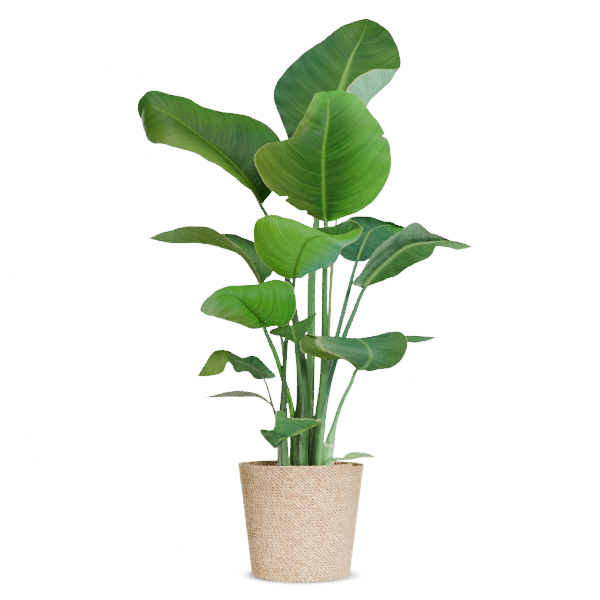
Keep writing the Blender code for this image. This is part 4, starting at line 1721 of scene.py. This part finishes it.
@dataclass(frozen=True)
class CordFinish:
    """The colours of dry twisted seagrass.

    Attributes:
        straw: The pale fibres.
        tan: The usual tone.
        brown: The darkest blades of grass.
        groove: Painted shade in the grooves between the strands.
    """

    straw: Colour = display(252, 226, 172)
    tan: Colour = display(222, 176, 116)
    brown: Colour = display(106, 74, 44)
    # painted shade for the grooves between the strands
    groove: Colour = display(60, 38, 22)

    def material(self, effects: SharedEffects) -> bpy.types.Material:
        """Fibres along each strand, a tone for each strand, and painted shade in the grooves between them.

        Args:
            effects: The shared node groups.

        Returns:
            The material.
        """
        material, tree, shader = new_material("twisted_seagrass")
        fibres = use_group(tree, effects.fibres, along=60.0, around=34.0)
        crest = put(tree, "Attribute", attribute_name="crest").outputs["Fac"]
        strand = put(tree, "Attribute", attribute_name="strand").outputs["Fac"]
        patch = use_group(tree, effects.mottle, scale=16.0).outputs[0]
        fleck = use_group(tree, effects.mottle, scale=150.0).outputs[0]
        base = blend(tree, fibres.outputs["Tone"], self.tan, self.straw)
        base = blend(tree, math_node(tree, "MULTIPLY", strand, 0.6), base, self.tan)
        base = blend(tree, math_node(tree, "MULTIPLY", patch, 0.3), base, self.straw)
        dark = between(tree, fibres.outputs["Fibre"], 0.5, 0.95)
        base = blend(tree, math_node(tree, "MULTIPLY", dark, 0.8), base, self.brown)
        pale = between(tree, fleck, 0.6, 0.9)
        base = blend(tree, math_node(tree, "MULTIPLY", pale, 0.6), base, self.straw)
        worn = between(tree, fleck, 0.4, 0.15)
        base = blend(tree, math_node(tree, "MULTIPLY", worn, 0.4), base, self.brown)
        # painted shade: the grooves between the strands darken towards the groove colour
        groove = between(tree, crest, 0.75, 0.1)
        colour = blend(tree, math_node(tree, "MULTIPLY", groove, 0.95), base, self.groove)
        height = math_node(tree, "MULTIPLY_ADD", fibres.outputs["Fibre"], 0.8, 0.1)
        normal = relief(tree, height, 0.8, 0.5 * MM)
        feed(tree, shader, Base_Color=colour, Roughness=0.86, Normal=normal)
        return material


@dataclass(frozen=True)
class CoiledBasket:
    """The basket: one three-strand cord, wound from the middle of the floor out and up to the rim.

    Attributes:
        height: The rim's height.
        foot_radius: The wall's outer radius, carried straight down to the floor.
        rim_radius: Its outer radius at the rim.
        foot_round: The radius of the rounding between floor and wall.
        cord: The cord's radius.
        row: The distance from one row to the next.
        lay: The length in which a strand goes once round the cord.
        step: The distance between the cord's sections.
    """

    height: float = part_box("basket")[1].z
    foot_radius: float = 0.108
    rim_radius: float = 0.140
    foot_round: float = 0.014
    cord: float = 3.35 * MM
    row: float = 6.4 * MM
    lay: float = 27 * MM
    step: float = 2.25 * MM

    SIDES = 12
    PARTS = ("floor", "low", "middle", "high")

    def _profile(self, at: np.ndarray) -> tuple[np.ndarray, np.ndarray, np.ndarray, np.ndarray]:
        """The half section that the rows lie on: across the floor, round the foot and up the wall.

        Args:
            at: Distances along it from the basket's middle.

        Returns:
            The radius and height there, and the two parts of the direction along it.
        """
        inset = self.cord
        quarter = np.linspace(-math.pi / 2, 0.0, 24)
        slope = (self.rim_radius - self.foot_radius) / self.height
        corner = self.foot_radius - self.foot_round + slope * self.foot_round
        rise = np.linspace(0, self.height - self.foot_round - inset, 60)
        bend = self.foot_round - inset
        radius = np.concatenate([
            np.linspace(0, corner, 30)[:-1],
            corner + bend * np.cos(quarter),
            corner + bend + slope * rise[1:],
        ])
        height = np.concatenate([
            np.full(29, inset), self.foot_round + bend * np.sin(quarter), self.foot_round + rise[1:]
        ])
        lengths = np.concatenate([[0], np.cumsum(np.hypot(np.diff(radius), np.diff(height)))])
        r, z = np.interp(at, lengths, radius), np.interp(at, lengths, height)
        ahead = np.interp(at + MM, lengths, radius), np.interp(at + MM, lengths, height)
        behind = np.interp(at - MM, lengths, radius), np.interp(at - MM, lengths, height)
        out, up = ahead[0] - behind[0], ahead[1] - behind[1]
        size = np.maximum(np.hypot(out, up), 1e-9)
        return r, z, out / size, up / size

    def _span(self) -> float:
        """The half section's length, from the middle of the floor to the last row."""
        slope = (self.rim_radius - self.foot_radius) / self.height
        wall = (self.height - self.foot_round - self.cord) * math.hypot(1, slope)
        return (
            self.foot_radius - self.foot_round + slope * self.foot_round
            + (self.foot_round - self.cord) * math.pi / 2 + wall
        )

    def build(self, effects: SharedEffects, finish: CordFinish) -> list[bpy.types.Object]:
        """Winds the cord and cuts it into four pieces, end to end.

        The centre line turns once for each row's distance along the half section. Round it a strand is a
        circle of radius q = 0.52 c set c - q off the centre, so at the angle a from a strand's crest the
        section's radius is (c - q) cos a + sqrt(q^2 - (c - q)^2 sin^2 a). Sections turn by the lay.

        Args:
            effects: The shared node groups.
            finish: The cord's colours.

        Returns:
            The pieces.
        """
        first, last = 1.2 * self.row, self._span()
        dense = np.linspace(first, last, 60000)
        r, z, _, _ = self._profile(dense)
        angle = 2 * math.pi * dense / self.row
        line = np.stack([r * np.cos(angle), r * np.sin(angle), z], axis=1)
        lengths = np.concatenate([[0], np.cumsum(np.linalg.norm(np.diff(line, axis=0), axis=1))])
        count = int(lengths[-1] / self.step)
        length = np.linspace(0, lengths[-1], count)
        at = np.interp(length, lengths, dense)
        r, z, out, up = self._profile(at)
        angle = 2 * math.pi * at / self.row + (1.5 * math.pi + 0.9 - 2 * math.pi * last / self.row)
        sag = 0.22 * MM * ripple(length, 0.09, 11) + 0.3 * MM * ripple(length, 0.31, 12)
        swell = 1 + 0.035 * ripple(length, 0.021, 13) + 0.03 * ripple(length, 0.13, 14)
        radial = np.stack([np.cos(angle), np.sin(angle), np.zeros(count)], axis=1)
        upright = np.array([0.0, 0.0, 1.0])
        along_wall = radial * out[:, None] + upright * up[:, None]
        outwards = radial * up[:, None] - upright * out[:, None]
        centres = radial * r[:, None] + upright * z[:, None]
        centres = centres + outwards * (-0.25 * MM + sag)[:, None] * 0.6
        column = np.arange(self.SIDES)
        from_crest = ((column * 2 * math.pi / self.SIDES + math.pi / 3) % (2 * math.pi / 3)) - math.pi / 3
        strand_radius = 0.52 * self.cord
        off = self.cord - strand_radius
        section = off * np.cos(from_crest) + np.sqrt(strand_radius**2 - (off * np.sin(from_crest)) ** 2)
        twist = 2 * math.pi * length / self.lay + 0.5 * ripple(length, 0.11, 16)
        turn = -(column * 2 * math.pi / self.SIDES)[None] - twist[:, None]
        tangents = unit(np.gradient(centres, axis=0))
        outwards = unit(outwards - tangents * (outwards * tangents).sum(axis=1, keepdims=True))
        beside = unit(np.cross(outwards, tangents))
        beside = beside * np.sign((beside * along_wall).sum(axis=1, keepdims=True))
        ends = smooth_step(-1, 14 * MM, length) * smooth_step(-1, 14 * MM, lengths[-1] - length)
        own = length[:, None] + 3.1 * np.floor(((column + 2) % self.SIDES) / 4)[None]
        size = section[None] * (swell * ends)[:, None] * (1 + 0.07 * ripple(own, 0.016, 17))
        rings = centres[:, None] + size[..., None] * (
            outwards[:, None] * np.cos(turn)[..., None] + beside[:, None] * np.sin(turn)[..., None]
        )
        uv = np.stack(
            np.broadcast_arrays(length[:, None], np.linspace(0, 1, self.SIDES + 1)[None]), axis=-1
        )
        crest = np.broadcast_to((1 + np.cos(3 * from_crest))[None] / 2, size.shape)
        tone = 0.5 + 0.5 * ripple(
            length[:, None] + 7.7 * np.floor(column / 4)[None] + np.zeros(size.shape), 0.35, 15
        )
        pieces = [self._core(finish)]
        material = finish.material(effects)
        cuts = np.linspace(0, count, len(self.PARTS) + 1).astype(int)
        for name, start, stop in zip(self.PARTS, cuts[:-1], cuts[1:]):
            rows = slice(max(start - 1, 0), stop)
            surface = tube(
                rings[rows], uv[rows], "fibres", {"crest": crest[rows], "strand": tone[rows]}
            )
            piece = surface.build(f"basket_coil_{name}", [material])
            pieces.append(place_piece(piece, ("basket",)))
        return pieces


    def _core(self, finish: CordFinish) -> bpy.types.Object:
        """A thin dark shell behind the rows, painted shade that fills the gaps between them: the half
        section, turned.

        Args:
            finish: The cord's colours.

        Returns:
            The finished piece.
        """
        at = np.linspace(2 * MM, self._span() - 1.5 * MM, 90)
        r, z, out, up = self._profile(at)
        half = 0.7 * MM
        outer = np.stack([r + up * half, z - out * half], axis=1)
        inner = np.stack([r - up * half, z + out * half], axis=1)[::-1]
        profile = np.concatenate([outer, inner])
        turns = 180
        angle = np.linspace(0, 2 * math.pi, turns, endpoint=False)
        rings = np.stack(
            [profile[:, :1] * np.cos(angle), profile[:, :1] * np.sin(angle),
             profile[:, 1:] + 0 * angle], axis=-1
        )
        uv = np.zeros((len(profile), turns + 1, 2))
        uv[..., 0], uv[..., 1] = np.arange(len(profile))[:, None] * 3.5 * MM, np.linspace(0, 1, turns + 1)
        material, tree, shader = new_material("stitching_shadow")
        place = put(tree, "TexCoord").outputs["Object"]
        rough = put(tree, "TexNoise", {"Vector": place, "Scale": 240.0, "Detail": 3.0}).outputs["Fac"]
        # painted shade: the shell's dark colour stands for the shade in the gaps between the rows
        colour = blend(tree, between(tree, rough, 0.35, 0.65), finish.groove, finish.brown)
        feed(tree, shader, Base_Color=colour, Roughness=0.95, Normal=relief(tree, rough, 0.8, 0.6 * MM))
        piece = tube(rings, uv, "fibres", {}).build("basket_gap_shade_core", [material])
        return place_piece(piece, ("basket",))


# ---------------------------------------------------------------- pot and soil


@dataclass(frozen=True)
class PotFilling:
    """The soil, the roots' crown in it, and the finishes of the pot and the film round them.

    Attributes:
        depth: How deep the modelled layer of soil and of crown goes.
        film_top: Where the film ends, below the soil's top, so that the woven inside shows.
        seed: Chooses the lumps.
    """

    depth: float = 12 * MM
    film_top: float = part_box("soil")[1].z - 3 * MM
    seed: int = 41

    def _mound(
        self, node: str, name: str, slot: Slot, radius: float, lumps: float, rise: float, grain: float
    ) -> bpy.types.Object:
        """A disc with a lumpy top: a round profile turned about the middle, its top lifted by noise.

        Args:
            node: The solid it replaces.
            name: The piece's name.
            slot: Whether it is soil or crown, which chooses its colours.
            radius: Its radius.
            lumps: How high the lumps are.
            rise: How much higher its middle stands than its edge.
            grain: The size of the lumps.

        Returns:
            The piece, with its earth material.
        """
        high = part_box(node)[1].z
        low = high - self.depth
        turns, steps = 220, 90
        across = np.linspace(0.02, 1.0, steps)
        share = np.concatenate([[0.02, 0.5, 0.95, 0.97], [1.0], across[::-1]])
        height = np.concatenate([[low] * 3, [low + 1 * MM], [high - 1 * MM], np.full(steps, high)])
        angle = np.linspace(0, 2 * math.pi, turns, endpoint=False)
        wander = 1 + 0.02 * np.sin(3 * angle + 1) + 0.015 * np.sin(7 * angle)
        plan = share[:, None] * radius * (wander if rise else 1.0)
        points = np.stack(
            [plan * np.cos(angle), plan * np.sin(angle), height[:, None] + 0 * angle], axis=-1
        )
        flat = points * np.array([1.0, 1.0, 0.0])
        noise = 0.5 * billow(flat, grain, self.seed) + 0.3 * billow(flat, grain / 2.3, self.seed + 1)
        noise = noise + 0.25 * np.abs(billow(flat, grain / 5, self.seed + 2, waves=14))
        on_top = (np.arange(len(share)) > 4)[:, None] * (1 - smooth_step(0.93, 1.0, share))[:, None]
        points[..., 2] += on_top * (lumps * noise + rise * (1 - share[:, None] ** 2))
        around = np.linspace(0, 1, turns + 1)
        uv = np.stack(np.broadcast_arrays(share[:, None], around[None]), axis=-1)
        surface = tube(points, uv, "fibres", {"lump": (noise + 1) / 2})
        piece = surface.build(name, [self._earth(name, slot)])
        return place_piece(piece, (node,))

    def _earth(self, name: str, slot: Slot) -> bpy.types.Material:
        """Dark crumbs with paler bits of bark, or the greenish brown fibres of the crown."""
        material, tree, shader = new_material(name)
        place = put(tree, "TexCoord").outputs["Object"]
        crumbs = put(tree, "TexVoronoi", {"Vector": place, "Scale": 260.0}).outputs
        clods = put(tree, "TexNoise", {"Vector": place, "Scale": 45.0, "Detail": 6.0}).outputs["Fac"]
        if slot is Slot.SOIL:
            dark, pale, bits = display(44, 32, 24), display(92, 70, 50), display(150, 122, 88)
        else:
            dark, pale, bits = display(66, 60, 38), display(120, 112, 70), display(166, 158, 106)
        colour = blend(tree, between(tree, clods, 0.35, 0.65), dark, pale)
        shade = put(tree, "SeparateColor", {0: crumbs["Color"]}).outputs[0]
        chosen = math_node(tree, "MULTIPLY", between(tree, shade, 0.86, 0.9), 0.8)
        colour = blend(tree, chosen, colour, bits)
        height = math_node(tree, "SUBTRACT", clods, math_node(tree, "MULTIPLY", crumbs["Distance"], 0.6))
        feed(tree, shader, Base_Color=colour, Roughness=0.95, Normal=relief(tree, height, 0.9, 1.2 * MM))
        return material

    def build(self, effects: SharedEffects) -> None:
        """Makes the soil and the crown, and gives the pot and the film their finishes.

        Args:
            effects: The shared node groups.
        """
        soil_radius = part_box("soil")[1].x
        self._mound("soil", "lumpy_soil", Slot.SOIL, soil_radius, 1.6 * MM, 0.0, 16 * MM)
        crown_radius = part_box("root_crown")[1].x - 0.5 * MM
        self._mound("root_crown", "matted_root_crown", Slot.CROWN, crown_radius, 1.4 * MM, 2 * MM, 9 * MM)
        plastic = self._pot_plastic(effects)
        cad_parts["nursery_pot"].material_slots[0].material = plastic
        LOG.info("nursery_pot keeps its solid, with the finish %s", plastic.name)
        self._film_cup(effects)

    def _film_cup(self, effects: SharedEffects) -> bpy.types.Object:
        """The film's cup: an outline turned about the middle, out under the pot, up, over and back in.

        Its wall waves in and out by up to 1 mm, and its top edge up and down by up to 4 mm.

        Args:
            effects: The shared node groups.

        Returns:
            The finished piece.
        """
        low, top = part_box("basket_liner")[0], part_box("basket_liner")[1]
        turns, steps, wall = 260, 40, 0.3 * MM
        slope = 0.032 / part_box("basket")[1].z
        rim = top.x - slope * (top.z - self.film_top)
        bend = low.z + 10 * MM
        foot = rim - slope * (self.film_top - low.z - 10 * MM)
        outline = np.array([
            (2 * MM, low.z), (foot - 8 * MM, low.z), (foot, low.z + 10 * MM),
            *((foot + (rim - foot) * k / steps, bend + (self.film_top - low.z - 10 * MM) * k / steps)
              for k in range(1, steps + 1)),
        ])
        inside = outline[::-1] + np.array([-wall, 0.0])
        inside[:, 1] = np.maximum(inside[:, 1], low.z + wall)
        inside[-1] = (2 * MM - wall, low.z + wall)
        profile = np.concatenate([outline, inside])
        angle = np.linspace(0, 2 * math.pi, turns, endpoint=False)
        share = np.clip((profile[:, 1] - low.z) / (self.film_top - low.z), 0, 1)[:, None]
        crumple = 0.5 * np.sin(11 * angle + 9 * share) + 0.5 * np.sin(17 * angle - 7 * share + 2)
        edge = np.sin(5 * angle) + 0.6 * np.sin(13 * angle + 1)
        radius = profile[:, :1] - 0.8 * MM * (0.5 + 0.5 * crumple) * share
        height = profile[:, 1:] + 2.4 * MM * edge * smooth_step(0.8, 1.0, share)
        rings = np.stack([radius * np.cos(angle), radius * np.sin(angle), height + 0 * radius], axis=-1)
        around = np.linspace(0, 1, turns + 1)
        uv = np.stack(np.broadcast_arrays(share, around[None]), axis=-1)
        piece = tube(rings, uv, "fibres", {}).build("crumpled_film_cup", [self._film(effects)])
        return place_piece(piece, ("basket_liner",))

    def _pot_plastic(self, effects: SharedEffects) -> bpy.types.Material:
        """Satin black moulded plastic with a fine grain and dust."""
        material, tree, shader = new_material("satin_black_plastic")
        dust = use_group(tree, effects.mottle, scale=30.0).outputs[0]
        place = put(tree, "TexCoord").outputs["Object"]
        grain = put(tree, "TexNoise", {"Vector": place, "Scale": 900.0, "Detail": 2.0}).outputs["Fac"]
        dust = math_node(tree, "MULTIPLY", dust, 0.35)
        colour = blend(tree, dust, display(40, 40, 40), display(84, 76, 66))
        roughness = math_node(tree, "MULTIPLY_ADD", dust, 0.2, 0.42)
        feed(tree, shader, Base_Color=colour, Roughness=roughness, Normal=relief(tree, grain, 0.3, 0.1 * MM))
        return material

    def _film(self, effects: SharedEffects) -> bpy.types.Material:
        """Milky film with soft creases."""
        material, tree, shader = new_material("milky_film")
        crease = use_group(tree, effects.mottle, scale=55.0).outputs[0]
        haze = use_group(tree, effects.mottle, scale=14.0).outputs[0]
        colour = blend(tree, haze, display(176, 166, 150), display(204, 196, 182))
        roughness = math_node(tree, "MULTIPLY_ADD", haze, 0.2, 0.3)
        feed(tree, shader, Base_Color=colour, Roughness=roughness, Normal=relief(tree, crease, 0.6, 1.5 * MM))
        feed(tree, shader, Coat_Weight=0.3, Coat_Roughness=0.15)
        return material


# ---------------------------------------------------------------- studio


@dataclass(frozen=True)
class SoftLight:
    """A large soft light that points at the plant.

    Attributes:
        name: Its name.
        place: Where it stands.
        size: Its width.
        power: Its power in watts.
        colour: Its colour.
        aim: The height that it points at.
        spread: How widely it shines, in degrees.
    """

    name: str
    place: tuple[float, float, float]
    size: float
    power: float
    colour: Colour = (1.0, 1.0, 1.0)
    aim: float = 0.6
    spread: float = 180.0

    def build(self) -> None:
        """Makes the light."""
        light = bpy.data.lights.new(self.name, "AREA")
        light.shape = "DISK"
        light.size = self.size
        light.energy = self.power
        light.color = self.colour
        lamp = bpy.data.objects.new(self.name, light)
        bpy.context.scene.collection.objects.link(lamp)
        light.spread = math.radians(self.spread)
        away = unit(np.array(self.place) - np.array([0.0, 0.0, self.aim]))
        lamp.location = self.place
        lamp.rotation_euler = (math.acos(away[2]), 0.0, math.atan2(away[0], -away[1]))


@dataclass(frozen=True)
class Studio:
    """A plain pale floor, soft lights and the camera.

    Attributes:
        eye: Where the camera is.
        aim: What it looks at.
        lens: Its focal length in millimetres, for a sensor 36 mm wide.
        shift: Its sideways shift.
        lights: The lights.
    """

    eye: tuple[float, float, float] = (0.0, -2.5, 0.40)
    aim: tuple[float, float, float] = (0.0, 0.0, 0.601)
    lens: float = 67.68
    shift: float = -0.0017
    lights: tuple[SoftLight, ...] = (
        SoftLight("key", (1.5, -1.7, 2.5), 1.0, 105.0),
        SoftLight("warm_fill", (-2.0, -1.2, 0.4), 1.5, 22.0, (1.0, 0.68, 0.4)),
        SoftLight("overhead", (-0.6, -0.5, 2.8), 1.2, 30.0),
        SoftLight("basket_front", (0.6, -1.7, 0.22), 0.4, 2.2, (1.0, 0.95, 0.88), 0.08, 14.0),
        SoftLight("from_behind", (-1.4, 2.0, 1.5), 1.4, 28.0, (0.95, 1.0, 0.97)),
    )
    sky: float = 0.4

    def build(self) -> None:
        """Makes the camera, the lights, the sky and the floor."""
        camera = bpy.data.objects.new("camera", bpy.data.cameras.new("camera"))
        bpy.context.scene.collection.objects.link(camera)
        camera.data.sensor_width = 36.0
        camera.data.lens = self.lens
        camera.data.shift_x = self.shift
        camera.location = self.eye
        rise = math.atan2(self.aim[2] - self.eye[2], self.aim[1] - self.eye[1])
        camera.rotation_euler = (math.pi / 2 + rise, 0.0, 0.0)
        bpy.context.scene.camera = camera
        for light in self.lights:
            light.build()
        self._sky()
        self._floor()

    def _sky(self) -> None:
        """Even white light, with a white backdrop behind everything."""
        world = bpy.data.worlds.new("studio_white")
        world.use_nodes = True
        bpy.context.scene.world = world
        tree = world.node_tree
        seen = put(tree, "LightPath").outputs["Is Camera Ray"]
        strength = math_node(tree, "MULTIPLY_ADD", seen, 24.0, self.sky)
        background = tree.nodes["Background"]
        background.inputs["Color"].default_value = (1.0, 1.0, 1.0, 1.0)
        tree.links.new(strength, background.inputs["Strength"])

    def _floor(self) -> None:
        """A round white floor that brightens into the backdrop away from the basket."""
        turns, rings = 96, 12
        angle = np.linspace(0, 2 * math.pi, turns, endpoint=False)
        radius = np.linspace(0, 1, rings + 1)[1:] ** 2 * 6.0
        points = np.stack(
            [radius[:, None] * np.cos(angle), radius[:, None] * np.sin(angle), np.zeros((rings, turns))],
            axis=-1,
        ).reshape(-1, 3)
        quads, _, _ = ring_quads(rings, turns)
        middle = np.array([[0.0, 0.0, 0.0]])
        around = np.arange(turns)
        fan = np.stack([around, (around + 1) % turns, np.full(turns, rings * turns)], axis=1)
        surface = Surface(np.concatenate([points, middle]), quads[:, ::-1], {}, fan, {})
        floor = surface.build("floor", [self._floor_material()])

    def _floor_material(self) -> bpy.types.Material:
        """Matt white, which glows for the camera outside a soft ring round the basket."""
        material, tree, shader = new_material("floor_white")
        place = put(tree, "SeparateXYZ", {0: put(tree, "TexCoord").outputs["Object"]}).outputs
        squares = [math_node(tree, "MULTIPLY", place[axis], place[axis]) for axis in ("X", "Y")]
        distance = math_node(tree, "SQRT", math_node(tree, "ADD", *squares))
        glow = between(tree, distance, 0.108, 0.16)
        seen = put(tree, "LightPath").outputs["Is Camera Ray"]
        mask = math_node(tree, "MULTIPLY", glow, seen)
        colour = blend(tree, mask, (0.0, 0.0, 0.0), (1.0, 1.0, 1.0))
        feed(tree, shader, Base_Color=(0.9, 0.9, 0.9), Roughness=0.9, Emission_Color=colour)
        feed(tree, shader, Emission_Strength=24.0)
        return material


# ---------------------------------------------------------------- all together


def corners(box: tuple) -> list[list[float]]:
    """A box's two corners as plain lists."""
    return [list(corner) for corner in box]


def main() -> None:
    """Builds the studio, the basket with its filling, and the plant."""
    logging.basicConfig(level=logging.INFO, format="%(name)s: %(message)s")
    Studio().build()
    effects = SharedEffects.make()
    CoiledBasket().build(effects, CordFinish())
    PotFilling().build(effects)
    for leaf in LEAVES:
        leaf.stalk(effects)
        leaf.blade(effects)
    RolledLeaf().build(effects)


if __name__ == "__main__":
    main()
